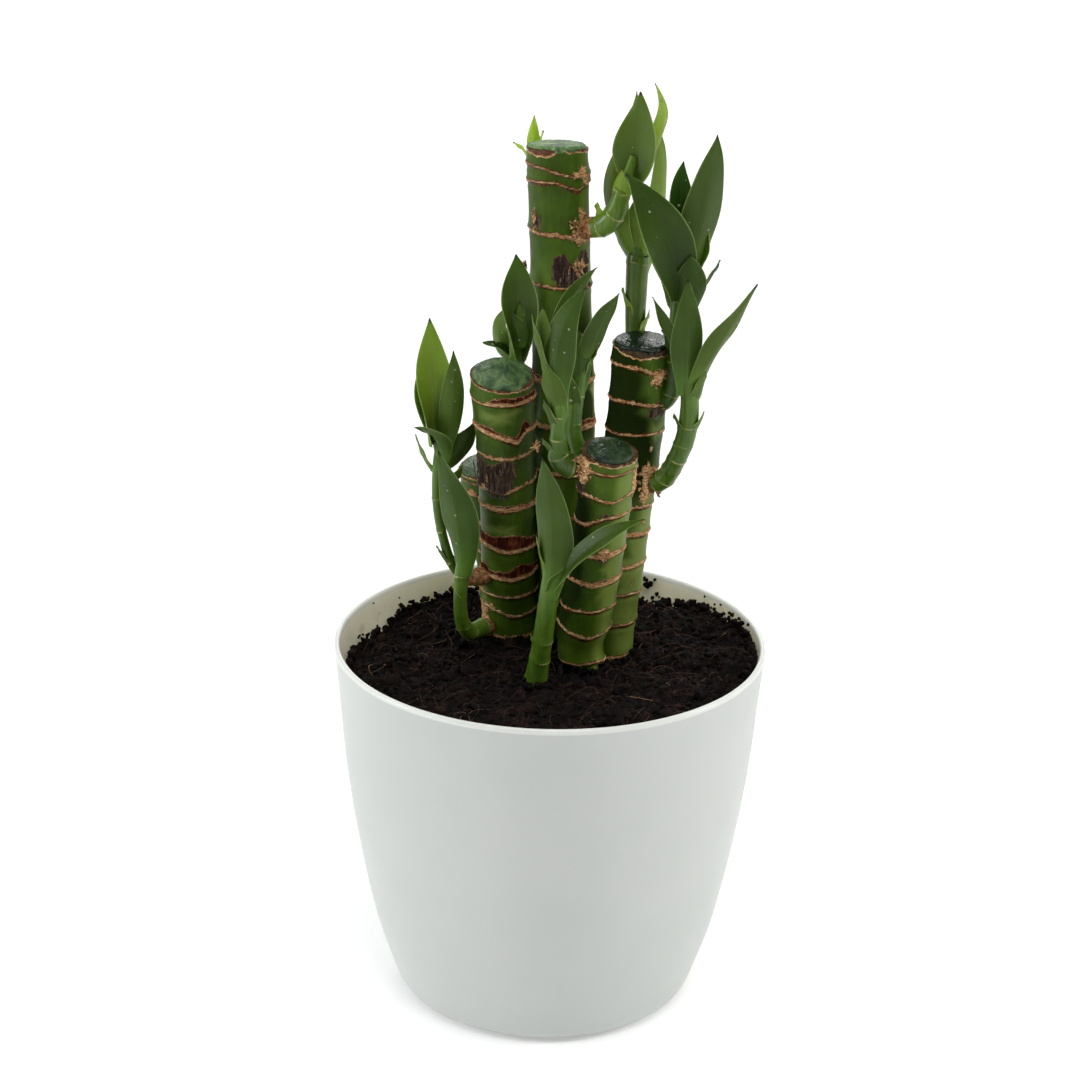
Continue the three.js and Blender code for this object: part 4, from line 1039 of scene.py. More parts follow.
def cane(name, number):
    build = CANES[name]
    radius = build["profile"][-1][1]
    top = build["axis"][-1][2] - build["axis"][0][2]
    heights = np.concatenate([np.linspace(-CANE_BURIED, -7, 5), np.arange(-6, top - 0.2, 0.6), [top]])
    piece = column(f"{name}_bamboo_cane", len(heights) - 1, 96)
    spots = read_points(piece)
    turn = np.arctan2(spots[:, 1], spots[:, 0])
    height = heights[np.clip(np.round(spots[:, 2]).astype(int), 0, len(heights) - 1)]

    gap, line, under, band, swell = ring_marks(build, number, turn, height)
    husk = patch_depth(build["husks"], turn, height, radius, 300 + number)
    flake = patch_depth(build["flakes"], turn, height, radius, 340 + number)
    # Pale patches: pale rind, and painted light along the lit right sides.
    pale_and_lit = patch_depth(build["pale_and_lit_patches"], turn, height, radius, 380 + number)
    # Shade patches: painted shade, dark green where neighbours shade the cane.
    painted_shade = patch_depth(build["shade_patches"], turn, height, radius, 420 + number)
    rough = np.array([noise.noise(Vector((math.cos(a) * 9, math.sin(a) * 9, h * 1.1 + number * 40)))
                      for a, h in zip(turn, height)])
    swell += (np.clip(husk + 0.5, 0, 0.8) * (0.45 + 0.5 * rough)
              + np.clip(flake + 0.4, 0, 0.8) * (0.5 + 0.7 * rough))
    swell += np.clip(band, 0, 0.5) * 0.5 * rough
    swell += 0.18 * ripple(turn, 700 + number, (2, 3), 0.5) + 0.05

    torn = around_cane(build["rim"], turn)
    torn = torn + 0.22 * ripple(turn, 800 + number, (3, 5, 8, 13, 21), 0.45)
    rim = torn - (top - height)
    swell += 0.35 * np.clip(rim + 0.3, 0, 0.6) * (1 + rough)
    wide = np.interp(height, *zip(*build["profile"])) + swell * np.clip(height / 4, 0, 1)
    wide = np.where(height < -5, wide - 1, wide)
    start, end = np.array(build["axis"][-2], float), np.array(build["axis"][-1], float)
    lean = (end - start) / np.linalg.norm(end - start)
    cut = np.array(build["cut"], float)
    cut /= np.linalg.norm(cut)
    out = np.column_stack([np.cos(turn), np.sin(turn), np.zeros(len(turn))]) * wide[:, None]
    tilt = -(out @ cut) / (lean @ cut) * np.clip((height - (top - 14)) / 14, 0, 1)
    ragged = 0.16 * ripple(turn, 900 + number, (3, 7, 12, 19), 0.4) * (height > top - 0.1)
    place = axis_at(build, height) + out
    place += lean * (tilt + ragged)[:, None]
    write_points(piece, place * MM)
    marks = {"ring_gap": gap, "ring_line": line, "band": band, "husk": husk, "flake": flake,
             "rim": np.clip(rim, -DEPTH_LIMIT, DEPTH_LIMIT), "ring_under": under,
             "waxed": np.full(len(turn), build.get("waxed", 0)),
             "pale_and_lit": np.clip(pale_and_lit / 3, 0, 1), "painted_shade": np.clip(painted_shade / 4 + 0.2, 0, 1)}
    for mark, values in marks.items():
        write_mark(piece, mark, values)
    finish_piece(piece, [CANE_RIND], "cane", f"{name}_cane", angle=50)
    wax_cap(name, build, number, end, cut)


def wax_cap(name, build, number, middle, cut):
    """The wax brushed over the cut: a flat drop with a wavering edge."""
    bpy.ops.object.select_all(action="DESELECT")
    bpy.ops.mesh.primitive_circle_add(vertices=72, radius=1, fill_type="NGON")
    piece = bpy.context.object
    piece.name = piece.data.name = f"{name}_wax_cap"
    bpy.ops.object.mode_set(mode="EDIT")
    bpy.ops.mesh.extrude_region_move(TRANSFORM_OT_translate={"value": (0, 0, 0.4)})
    for rise, share in ((0.35, 0.985), (0.25, 0.95)):
        bpy.ops.mesh.extrude_region_move(TRANSFORM_OT_translate={"value": (0, 0, rise)})
        bpy.ops.transform.resize(value=(share, share, 1))
    for _ in range(11):
        bpy.ops.mesh.inset(thickness=0.075)
    leave_facing_out()
    spots = read_points(piece)
    turn = np.arctan2(spots[:, 1], spots[:, 0])
    reach = np.hypot(spots[:, 0], spots[:, 1])
    lift = spots[:, 2]
    wide = build["cap"] * (1 + 0.012 * ripple(turn, 500 + number, (2, 3, 5, 9), 0.5))
    x, y = np.cos(turn) * reach * wide, np.sin(turn) * reach * wide
    rough = np.array([noise.noise(Vector((a / 2.4, b / 3.4, number)))
                      + 0.5 * noise.noise(Vector((a, b * 0.8, 9))) for a, b in zip(x, y)])
    z = 0.1 + lift * 1.1 + (lift > 0.9) * (0.5 * (1 - reach ** 2) + 0.22 * rough)
    for azimuth, length, half in build["drips"]:
        off = np.mod(turn - math.radians(azimuth) + math.pi, TAU) - math.pi
        run = np.exp(-(off / math.radians(half)) ** 4) * (lift < 0.5) * (reach > 0.9)
        x, y = x * (1 + 0.08 * run), y * (1 + 0.08 * run)
        z = z - run * length * (1 - 1.6 * lift)
    side = np.cross((0, 1.0, 0), cut)
    side /= np.linalg.norm(side)
    back = np.cross(cut, side)
    place = middle + x[:, None] * side + y[:, None] * back + z[:, None] * cut
    write_points(piece, place * MM)
    write_mark(piece, "thin", np.full(len(spots), build["wax"]))
    finish_piece(piece, [SEALING_WAX], "wax", f"{name}_cane_wax", angle=60)


# Shoots

# stem: (x, y, z, radius) up the middle of the stem. bark: how far up it the bark reaches. rings: where the
# stem is ringed. fresh: how yellow and light the green is, in part the young growth's own colour and in part
# painted light where light shines through or falls on it. dark: how far the green is deepened, in part
# painted shade, as (length along the stem, share).
# leaves: base, mid and tip of the middle line, the widest spread, the curl across (cup) and where the back
# faces (out). Some leaves differ: sheath is the curl round the stem, clasp the base's width as a share of
# the widest, wrap the furthest that the blade rolls round, in radians, opening how soon it unrolls, turn how
# far it is turned about its stem and keel how sharply it folds along the middle. dark and fresh change its
# green, painted shade and painted light included.
SHOOTS = {
    "tall_side": dict(fresh_and_lit=0.3, bark=6.5, rings=(9, 16, 24), stem=[
        (7, 25, 273, 3.2), (12.5, 21, 273.5, 3.6), (16.5, 18.5, 276, 4), (19.5, 17, 281, 3.5),
             (21, 17, 287, 2.8),
        (23, 17.5, 293, 2), (24.5, 18, 299, 1.2)], leaves=[
        dict(base=(23, 18, 286), mid=(26.2, 18, 303), tip=(26, 16.5, 321), width=18, cup=9, clasp=0.14,
             dark=0.38, fresh_and_lit=0.12, out=(0.45, 0.9, 0)),
        dict(base=(25, 20, 290), mid=(34, 21, 307), tip=(31, 21.5, 323), width=9.5, cup=5, fresh_and_lit=0.55,
             out=(1, -0.6, 0)),
        dict(base=(24, 21, 290), mid=(24.5, 22.5, 305), tip=(25, 23, 320), width=7, cup=5,
             out=(-0.4, 1, 0)),
        dict(base=(20, 15.5, 281), tip=(20.8, 14.6, 295), width=8, cup=3.4, sheath=3.4, fresh_and_lit=0.42,
             out=(-0.5, -1, 0)),
        dict(base=(14, 18.5, 275), tip=(12.8, 19.6, 282.5), width=6, cup=3.6, sheath=3.8, fresh_and_lit=0.5,
             out=(-1, -0.4, 0.6))]),
    "tall_crown": dict(fresh_and_lit=1, rings=(), stem=[
        (-3, 32, 283, 2.4), (-7, 37, 285.5, 2.6), (-8.8, 39.5, 290, 2.2), (-9, 40.5, 295, 1.3)], leaves=[
        dict(base=(-9, 40, 289), mid=(-9.2, 41.5, 298), tip=(-9, 42, 306.5), width=5, cup=3,
             out=(0, -1, 0)),
        dict(base=(-8, 41, 289), mid=(-6.8, 42, 295), tip=(-6, 41.5, 301.5), width=4, cup=2.6,
             out=(1, 0.2, 0)),
        dict(base=(-10, 40, 289), mid=(-12.5, 40.5, 294), tip=(-16, 40, 297.5), width=4, cup=2.6,
             out=(-1, 0, -0.4))]),
    "right_back": dict(fresh_and_lit=0.34, dark=[(12, 0), (22, 0.3), (40, 0.45)], rings=(8, 14, 40), stem=[
        (28.3, 15, 225, 3), (27.5, 21.5, 229, 3.5), (27, 25, 238, 3.5), (27, 25.5, 251, 3.8),
             (27.2, 25.5, 262, 3.9),
        (27.3, 25.5, 263.4, 3.1), (27.5, 25.5, 272, 2.8), (28, 25.5, 280, 1.6)], leaves=[
        dict(base=(25, 25, 262), mid=(17.5, 25.5, 284), tip=(24, 26.5, 306), width=14, cup=9, dark=0.12,
             out=(-0.8, -0.6, 0)),
        dict(base=(29.5, 25.5, 256), mid=(34.4, 27, 282), tip=(33, 27.5, 306), width=13, cup=9,
             dark=0.12, out=(0.8, -0.6, 0)),
        dict(base=(27.5, 22.8, 263), tip=(26.5, 22.5, 285), width=11, cup=6, sheath=3.9, dark=0.4,
             out=(0, -1, 0)),
        dict(base=(25.5, 24.6, 239), tip=(22.4, 24.4, 251.5), width=7, cup=4, sheath=3.8, fresh_and_lit=0.4,
             out=(-1, -0.3, 0)),
        dict(base=(28.5, 24.4, 232.5), tip=(31.8, 24, 244), width=7, cup=4, sheath=3.8, fresh_and_lit=0.4,
             out=(1, -0.3, 0))]),
    "right_upper": dict(fresh_and_lit=0.08, dark=[(0, 0.2), (20, 0.4)], rings=(10, 22, 34), stem=[
        (32.5, 9.5, 215.5, 2.8), (36.8, 7, 216.5, 3), (39.6, 5.4, 222, 2.8), (40.4, 5.2, 235, 2.6),
        (40.8, 5.6, 249, 2.8), (42, 7.5, 260, 2.5), (44, 8.5, 268, 1.6)], leaves=[
        dict(base=(43.5, 10, 265), mid=(40.5, 12, 284), tip=(41, 12.5, 299), width=10, cup=5.5, dark=0.1,
             out=(-0.2, 1, 0)),
        dict(base=(44.5, 7.5, 261), mid=(49.3, 8.5, 286), tip=(51.6, 8.5, 309), width=16.2, cup=10,
             dark=0.66, out=(0.5, -0.87, 0)),
        dict(base=(41.5, 4, 254), mid=(35, 1.5, 277), tip=(21.5, 2, 297), width=17.5, cup=13, dark=0.62,
             out=(-0.3, 1, 0)),
        dict(base=(43, 3, 248), mid=(44.3, 0.6, 260), tip=(44, 1, 270), width=13, cup=6, sheath=4,
             dark=0.65, out=(0, -1, 0)),
        dict(base=(42.6, 6.2, 249.5), mid=(49.6, 6.4, 257.5), tip=(54, 6, 267.2), width=6, cup=3.2,
             dark=0.45, out=(0.7, -0.4, -0.7)),
        dict(base=(39, 8.5, 247), mid=(35.6, 9.3, 256), tip=(32.8, 9.5, 266.5), width=5.5, cup=3,
             dark=0.5, out=(-0.9, -0.4, 0)),
        dict(base=(40.2, 4.2, 224), mid=(38.8, 3, 234), tip=(35.2, 2.4, 243.5), width=5, cup=3, dark=0.7,
             out=(-0.8, -0.6, 0)),
        dict(base=(45.5, 10, 260), mid=(48.6, 11.5, 268), tip=(50, 12, 278), width=7, cup=4,
             out=(0.7, 0.7, 0))]),
    "right_lower": dict(fresh_and_lit=0.15, dark=[(0, 0.3), (30, 0.2)], rings=(6, 10, 15, 20, 26, 33), stem=[
        (31, 9.5, 187, 3.2), (35, 7, 187.6, 3.6), (38.4, 3.6, 190.6, 3.5), (42, 0, 199, 3.3),
             (44.6, -2, 208, 3.4),
        (45.4, -3, 219, 3.2), (44.2, -3.8, 228, 2.6), (42.5, -4, 236, 1.4)], leaves=[
        dict(base=(43.8, -5.5, 223), mid=(44, -7, 244), tip=(43, -5.5, 263.5), width=12.5, cup=7,
             dark=0.5, out=(0.3, -0.95, 0)),
        dict(base=(46, -5, 225), mid=(54.7, -6.8, 241.8), tip=(66, -8, 263), width=11, cup=5, dark=0.55,
             out=(0.6, -0.8, -0.3)),
        dict(base=(42.5, -3.5, 230), mid=(37.5, -3.6, 243), tip=(31.6, -3, 256.5), width=8, cup=4,
             dark=0.6, out=(-0.8, -0.6, 0)),
        dict(base=(46.6, -3.8, 217), tip=(50, -5, 232), width=8, cup=4.4, sheath=3.6, dark=0.4,
             out=(0.8, -0.6, 0)),
        dict(base=(44.6, -2, 206), tip=(40, -3.2, 216), width=7, cup=3.8, sheath=3.5, dark=0.35,
             out=(-1, -0.3, 0)),
        dict(base=(46.4, -2.4, 207), tip=(50.4, -3.6, 217), width=7, cup=3.8, sheath=3.5,
             out=(1, -0.3, 0))]),
    "front_outer": dict(fresh_and_lit=0.13, dark=[(0, 0.5), (14, 0.4), (26, 0.1)], rings=(8, 14, 20, 28), stem=[
        (12.5, -18, 200, 3.2), (8, -17.5, 201.5, 3.8), (4.5, -18.8, 202.5, 4), (1.8, -20, 206, 3.6),
        (1.5, -20.5, 214, 2.7), (2, -20.5, 223, 2.8), (1.2, -20, 232, 2), (0, -19.5, 240, 1.2)], leaves=[
        dict(base=(1.8, -22, 220), mid=(-1, -23.4, 230), tip=(-3, -22.6, 238.5), width=9, cup=4.6,
             dark=0.42, out=(-0.4, -1, 0)),
        dict(base=(1.5, -22, 222), mid=(0.4, -23, 245), tip=(9.6, -21, 265), width=13.5, cup=7, dark=0.5,
             out=(-0.45, -0.9, 0)),
        dict(base=(-1, -18.6, 233), mid=(3.4, -17, 255), tip=(13, -16, 270), width=8.5, cup=3.6,
             dark=0.7, out=(0.5, 0.9, -0.3)),
        dict(base=(-1, -20, 229), mid=(-6.2, -19.6, 243), tip=(-8, -19, 255), width=6, cup=3, dark=0.4,
             out=(-0.9, -0.4, 0)),
        dict(base=(-0.6, -20, 229), mid=(-4, -19, 244), tip=(-4.6, -18.5, 257), width=9, cup=5, dark=0.3,
             out=(-0.6, -0.8, 0)),
        dict(base=(0.6, -20.6, 213), tip=(-3.8, -21.6, 226), width=7.5, cup=3.4, sheath=3, dark=0.6,
             out=(-1, -0.5, 0)),
        dict(base=(1, -20, 204), tip=(-4, -21.4, 212.5), width=6, cup=3.4, sheath=3.8, dark=0.5,
             out=(-1, -0.5, 0))]),
    "front_inner": dict(fresh_and_lit=0.12, dark=[(0, 0.4), (12, 0.1)], rings=(9, 18, 28), stem=[
        (13, -13, 198.5, 2.8), (9.6, -10.2, 202.5, 2.8), (6.6, -10.5, 211, 2.6), (7, -10.5, 222, 2.5),
        (8.6, -10.5, 232, 2), (9.5, -10.5, 238, 1.2)], leaves=[
        dict(base=(9, -11.4, 231), mid=(14, -12.4, 247.5), tip=(20.5, -13, 260.5), width=9, cup=5,
             dark=0.6, out=(0.5, -0.9, 0)),
        dict(base=(8, -11.4, 224), mid=(8.2, -12.6, 236), tip=(7.5, -11, 247), width=8, cup=4.4,
             dark=0.5, out=(0, -1, 0)),
        dict(base=(6.8, -11.4, 216), mid=(5, -13.2, 225), tip=(4.6, -13.4, 233), width=7.5, cup=4,
             dark=0.48, out=(-0.4, -1, 0)),
        dict(base=(9.4, -10.4, 229), mid=(12, -10, 235), tip=(14.4, -9.6, 241), width=5.5, cup=3,
             out=(1, 0, 0))]),
    "left_back": dict(fresh_and_lit=0.1, rings=(8, 15), stem=[
        (-16.6, 19.5, 213, 2.8), (-15, 25, 216, 3), (-13.6, 26.6, 223, 2.8), (-13, 24.8, 231, 2.5),
        (-12.6, 23.5, 239, 1.4)], leaves=[
        dict(base=(-12.6, 24.6, 227), mid=(-11.4, 21.4, 246), tip=(-14.3, 21, 263.5), width=17, cup=7.5,
             sheath=3, clasp=0.95, wrap=2.6, opening=1.2, turn=0.5, keel=0.3, fresh_and_lit=0.12, dark=0.45,
             out=(0.1, 1, 0)),
        dict(base=(-12.6, 22, 230), mid=(-13.4, 20.4, 236.5), tip=(-15.8, 20.2, 243.5), width=8, cup=4.4,
             dark=0.05, out=(-0.2, -1, 0)),
        dict(base=(-14.8, 27, 224), mid=(-20, 28.4, 232), tip=(-17.4, 29, 242), width=10, cup=6,
             fresh_and_lit=0.15, out=(-0.6, -0.7, 0)),
        dict(base=(-14.2, 25.4, 225.5), mid=(-19.6, 25, 228.6), tip=(-25.2, 24, 231.2), width=7, cup=3.6,
             dark=0.45, out=(-0.3, 0.2, -1)),
        dict(base=(-11.6, 22.4, 231), mid=(-11.6, 20.6, 239), tip=(-12.8, 20, 247), width=6, cup=3.4,
             dark=0.25, out=(0.3, -1, 0))]),
    "left_foot": dict(fresh_and_lit=0.25, bark=6, rings=(7, 14, 20, 40), stem=[
        (-19, 25.5, 126, 3), (-24, 20.5, 126, 3.4), (-28.5, 14.5, 127, 3), (-31, 10.5, 132.5, 2.6),
        (-31.8, 9, 141, 2.3), (-31.4, 9, 149, 2.5), (-31.2, 9, 156, 2), (-31.4, 9, 163, 1.2)], leaves=[
        dict(base=(-31.3, 6.5, 151), mid=(-33.6, 6, 174), tip=(-39.4, 5, 198), width=16.6, cup=9,
             sheath=2.7,
             dark=0.32, fresh_and_lit=0.06, out=(-0.5, -0.87, 0)),
        dict(base=(-30.2, 10.2, 150), mid=(-27.4, 11.4, 159), tip=(-26.8, 11.6, 168), width=8, cup=4.4,
             dark=0.3,
             out=(0.8, -0.5, 0)),
        dict(base=(-31.6, 9.2, 138), tip=(-34.2, 8.4, 148), width=6, cup=3, sheath=2.7, fresh_and_lit=0.35,
             out=(-1, -0.4, 0))]),
    "left_side": dict(fresh_and_lit=0.13, bark=11, rings=(10, 20, 32, 44), stem=[
        (-20, 22.4, 146, 3), (-26.5, 18.8, 146, 3.2), (-31, 17.2, 147, 2.1), (-35.4, 17, 152.5, 1.8),
        (-38.3, 17, 162, 1.7), (-39.9, 17, 171, 1.8), (-40.4, 17.4, 180, 1.9), (-40, 18.4, 189, 2),
        (-39.6, 19, 197, 1.4)], leaves=[
        dict(base=(-40.4, 20, 195), mid=(-40.7, 22.4, 217), tip=(-43.6, 24, 239.5), width=15.5, cup=8,
             sheath=3.4, clasp=0.85, wrap=2.2, opening=1.4, turn=0.4, keel=0.3, fresh_and_lit=0.36,
             out=(-0.1, 1, 0)),
        dict(base=(-41.4, 21.4, 197), mid=(-46, 24.6, 212), tip=(-44.6, 26, 228), width=9, cup=6,
             fresh_and_lit=0.3,
             out=(-0.6, 0.8, 0)),
        dict(base=(-38, 17.6, 193), mid=(-35.2, 16.2, 212), tip=(-35, 16, 230.5), width=10, cup=4.6,
             dark=0.42, fresh_and_lit=0.2, out=(0.1, -1, 0)),
        dict(base=(-38.4, 15.8, 190), mid=(-41, 13.4, 199.5), tip=(-48.2, 13.6, 203), width=10, cup=6,
             dark=0.35, out=(-0.3, -0.6, -0.8)),
        dict(base=(-41, 18.4, 184), mid=(-45.4, 19.4, 190), tip=(-48, 20, 198.5), width=5, cup=3,
             out=(-0.9, -0.3, 0)),
        dict(base=(-38.4, 19.4, 187), mid=(-32, 20.6, 194), tip=(-27.4, 22, 203.5), width=10, cup=5,
             dark=0.7, out=(0.25, -1, -0.1)),
        dict(base=(-39, 16.6, 177), mid=(-34.6, 16, 182.5), tip=(-31.4, 16, 190), width=6, cup=3.4,
             out=(0.7, -0.7, 0)),
        dict(base=(-36, 16.6, 151), tip=(-40.4, 15.6, 159), width=4.6, cup=2.6, sheath=2.1,
             out=(-1, -0.4, 0))]),
    "soil": dict(fresh_and_lit=0.14, bark=0, rings=(8, 24, 34, 42), stem=[
        (-6, -12, 98, 3), (-4.8, -13.8, 118, 4.2), (-4, -16, 126, 3.8), (-3, -18, 134, 3.5),
             (-2, -19.8, 143, 3.4),
        (-1.2, -21, 151, 3.3), (-0.8, -21.8, 159, 2.8), (-0.8, -22, 167, 1.6)], leaves=[
        dict(base=(-1.1, -24.4, 156), mid=(-0.6, -24.8, 182), tip=(-4, -23, 206.5), width=16, cup=8,
             sheath=3.3,
             dark=0.52, out=(-0.5, -0.87, 0)),
        dict(base=(1, -23, 160), mid=(15, -30, 178.5), tip=(30.5, -33, 189), width=9.5, cup=5, dark=0.45,
             out=(0.3, 0.6, -1)),
        dict(base=(0, -22.4, 155), tip=(5, -24.4, 169.5), width=9, cup=4.4, sheath=3.4,
             out=(0.8, -0.7, 0)),
        dict(base=(-2, -21.2, 161), mid=(-4, -20.6, 169.5), tip=(-5.6, -20.4, 178), width=5, cup=3,
             dark=0.2, out=(-1, 0, 0)),
        dict(base=(-3.2, -17.6, 130), tip=(-6.6, -18.2, 140.5), width=6.5, cup=4, sheath=3.8, fresh_and_lit=0.25,
             out=(-1, -0.3, 0)),
        dict(base=(-1.4, -20.2, 145), tip=(3, -21.4, 155), width=6.5, cup=4, sheath=3.6, dark=0.15,
             out=(1, -0.3, 0))]),
}
BLADE_THICKNESS = 0.6
BLADE_ACROSS, BLADE_ALONG = 10, 26
STEM_SIDES = 20
# The stem's place among a shoot's materials, after the blades' two faces.
STEM_LOOK = 2
# The water drops that the blades leave while they are built: middle, the way out and radius.
DROPS = []


def unit(vectors):
    return vectors / np.linalg.norm(vectors, axis=-1, keepdims=True)


def spread(t, base):
    """Width of a blade along its length: a clasping base, a broad middle and a drawn-out tip."""
    widest = 0.42
    lower = base + (1 - base) * np.sin(math.pi / 2 * np.minimum(t / widest, 1)) ** 1.3
    s = np.clip((t - widest) / (1 - widest), 0, 1)
    upper = np.cos(math.pi / 2 * s) * (1 - 0.12 * s)
    return np.where(t < widest, lower, upper)


def blade(name, leaf, seed, fresh_and_lit):
    """A leaf blade: a flat grid curled across, bent along its middle line and given its thickness."""
    bpy.ops.object.select_all(action="DESELECT")
    bpy.ops.mesh.primitive_grid_add(x_subdivisions=BLADE_ACROSS, y_subdivisions=BLADE_ALONG, size=2,
                                    calc_uvs=True)
    piece = bpy.context.object
    piece.name = piece.data.name = name
    flat = read_points(piece)
    u, t = flat[:, 0], (flat[:, 1] + 1) / 2
    rng = np.random.default_rng(seed)
    base, tip, out = (np.array(leaf[key], float) for key in ("base", "tip", "out"))
    out = unit(out)
    mid = np.array(leaf["mid"], float) if "mid" in leaf else (base + tip) / 2 + out * 0.6
    pull = 2 * mid - (base + tip) / 2
    s = t[:, None]
    line = (1 - s) ** 2 * base + 2 * s * (1 - s) * pull + s ** 2 * tip
    ahead = unit(2 * (1 - s) * (pull - base) + 2 * s * (tip - pull))
    back = unit(out - (ahead @ out)[:, None] * ahead)
    side = np.cross(ahead, back)
    twist = rng.normal(0, 0.08) * (t - 0.3)
    turned = back * np.cos(twist)[:, None] + side * np.sin(twist)[:, None]
    side = np.cross(ahead, turned)
    back = turned
    opened = np.minimum(1, leaf.get("opening", 2.5) * t)
    curl = (leaf.get("sheath", leaf["cup"]) * (1 - opened) + leaf["cup"] * opened) * (1 + 0.8 * t * t)
    clasp = leaf.get("clasp", 0.46 if "mid" in leaf else 0.75)
    width = np.maximum(leaf["width"] * spread(t, clasp), 0.12)
    half = np.minimum(width / 2 / curl, leaf.get("wrap", 2.2))
    angle = half * u + leaf.get("turn", 0) * (1 - t)
    wave = 0.4 * np.sin(t * rng.uniform(9, 14) + rng.uniform(0, TAU) + u) * np.abs(u) ** 3 * (t > 0.15)
    bow = curl * np.cos(angle) - curl
    keel = (curl * np.cos(half) - curl) * np.abs(u) ** 1.15
    sharp = leaf.get("keel", 0.8) * np.clip(t * 3, 0, 1)
    lift = bow * (1 - sharp) + keel * sharp + wave
    place = line + back * lift[:, None] + side * (curl * np.sin(angle))[:, None]
    write_points(piece, place * MM)
    normals = np.array([face.normal[:] for face in piece.data.polygons])
    if float((normals @ out).mean()) < 0:
        piece.data.flip_normals()
    if "mid" in leaf:
        wet(piece, u, t, seed)
    thicken(piece, u, t)
    fresh_and_lit = np.clip(leaf.get("fresh_and_lit", fresh_and_lit) + rng.normal(0, 0.05), 0, 1)
    marks = {"fresh_and_lit": fresh_and_lit, "dark": leaf.get("dark", 0), "ring_gap": 9.0, "dry_tip": float("mid" in leaf)}
    for mark, value in marks.items():
        write_mark(piece, mark, np.full(len(piece.data.vertices), value))
    return piece


def thickness_share(u):
    """A blade's thickness across it, as a share of the thickness along its middle."""
    return 0.4 + 0.6 * (1 - np.abs(u) ** 3)


def thicken(piece, u, t):
    """Gives a blade its thickness, less at the edges and the tip, and each of its faces its own green."""
    rim = piece.vertex_groups.new(name="thick")
    for index, value in enumerate(thickness_share(u) * (1 - 0.75 * t ** 6)):
        rim.add([index], float(value), "REPLACE")
    shell = piece.modifiers.new("thickness", "SOLIDIFY")
    shell.thickness = BLADE_THICKNESS * MM
    shell.offset = -1
    shell.vertex_group = "thick"
    shell.thickness_vertex_group = 0.0
    shell.material_offset = 1
    shell.material_offset_rim = 0
    bpy.context.view_layer.objects.active = piece
    piece.data.materials.append(BLADE_BACK)
    piece.data.materials.append(BLADE_FRONT)
    bpy.ops.object.modifier_apply(modifier="thickness")
    piece.vertex_groups.clear()


def wet(piece, u, t, seed):
    """Leaves a few water drops on the side of a blade that faces the front or the sky."""
    rng = np.random.default_rng(seed)
    for _ in range(rng.integers(0, 5)):
        index = int(np.argmin((u - rng.uniform(-0.7, 0.7)) ** 2 + (t - rng.uniform(0.15, 0.85)) ** 2))
        point = piece.data.vertices[index]
        normal = np.array(point.normal)
        spot = np.array(point.co) / MM
        if normal @ (0, -0.8, 0.6) < 0:
            spot = spot - normal * BLADE_THICKNESS * thickness_share(u[index])
            normal = -normal
        DROPS.append((spot, normal, rng.uniform(0.2, 0.55)))


def water_drops(name):
    """Domes of water, each closed underneath."""
    points, faces = [], []
    for spot, normal, size in DROPS:
        side = unit(np.cross(normal, (0.3, 0.2, 1.0)))
        across = np.cross(normal, side)
        first = len(points)
        for share, lift in ((1.0, -0.1), (0.92, 0.22), (0.55, 0.46)):
            for k in range(9):
                angle = TAU * k / 9
                reach = size * share * (1 + 0.12 * math.sin(angle + 7 * size))
                points.append((spot + side * reach * math.cos(angle) + across * reach * math.sin(angle)
                               + normal * lift * size) * MM)
        points.append((spot + normal * 0.54 * size) * MM)
        faces.append([first + k for k in range(9)])
        for row in (0, 9):
            for k in range(9):
                a, b = first + row + k, first + row + (k + 1) % 9
                faces.append((a, b, b + 9, a + 9))
        faces += [(first + 18 + k, first + 18 + (k + 1) % 9, first + 27) for k in range(9)]
    piece = mesh_of(name, points, faces)
    face_outward(piece)
    finish_piece(piece, [water_painted_glints()], "leaf", angle=60)


def smooth_path(points, steps):
    """Points on a smooth line through the given ones, with the length run along it."""
    points = np.array(points, float)
    padded = np.vstack([2 * points[0] - points[1], points, 2 * points[-1] - points[-2]])
    rows = []
    for k in range(len(points) - 1):
        a, b, c, d = padded[k:k + 4]
        for t in np.linspace(0, 1, steps, endpoint=False):
            rows.append(0.5 * (2 * b + (c - a) * t + (2 * a - 5 * b + 4 * c - d) * t ** 2
                               + (3 * b - a - 3 * c + d) * t ** 3))
    rows.append(points[-1])
    rows = np.array(rows)
    run = np.concatenate([[0], np.cumsum(np.linalg.norm(np.diff(rows[:, :3], axis=0), axis=1))])
    return rows, run


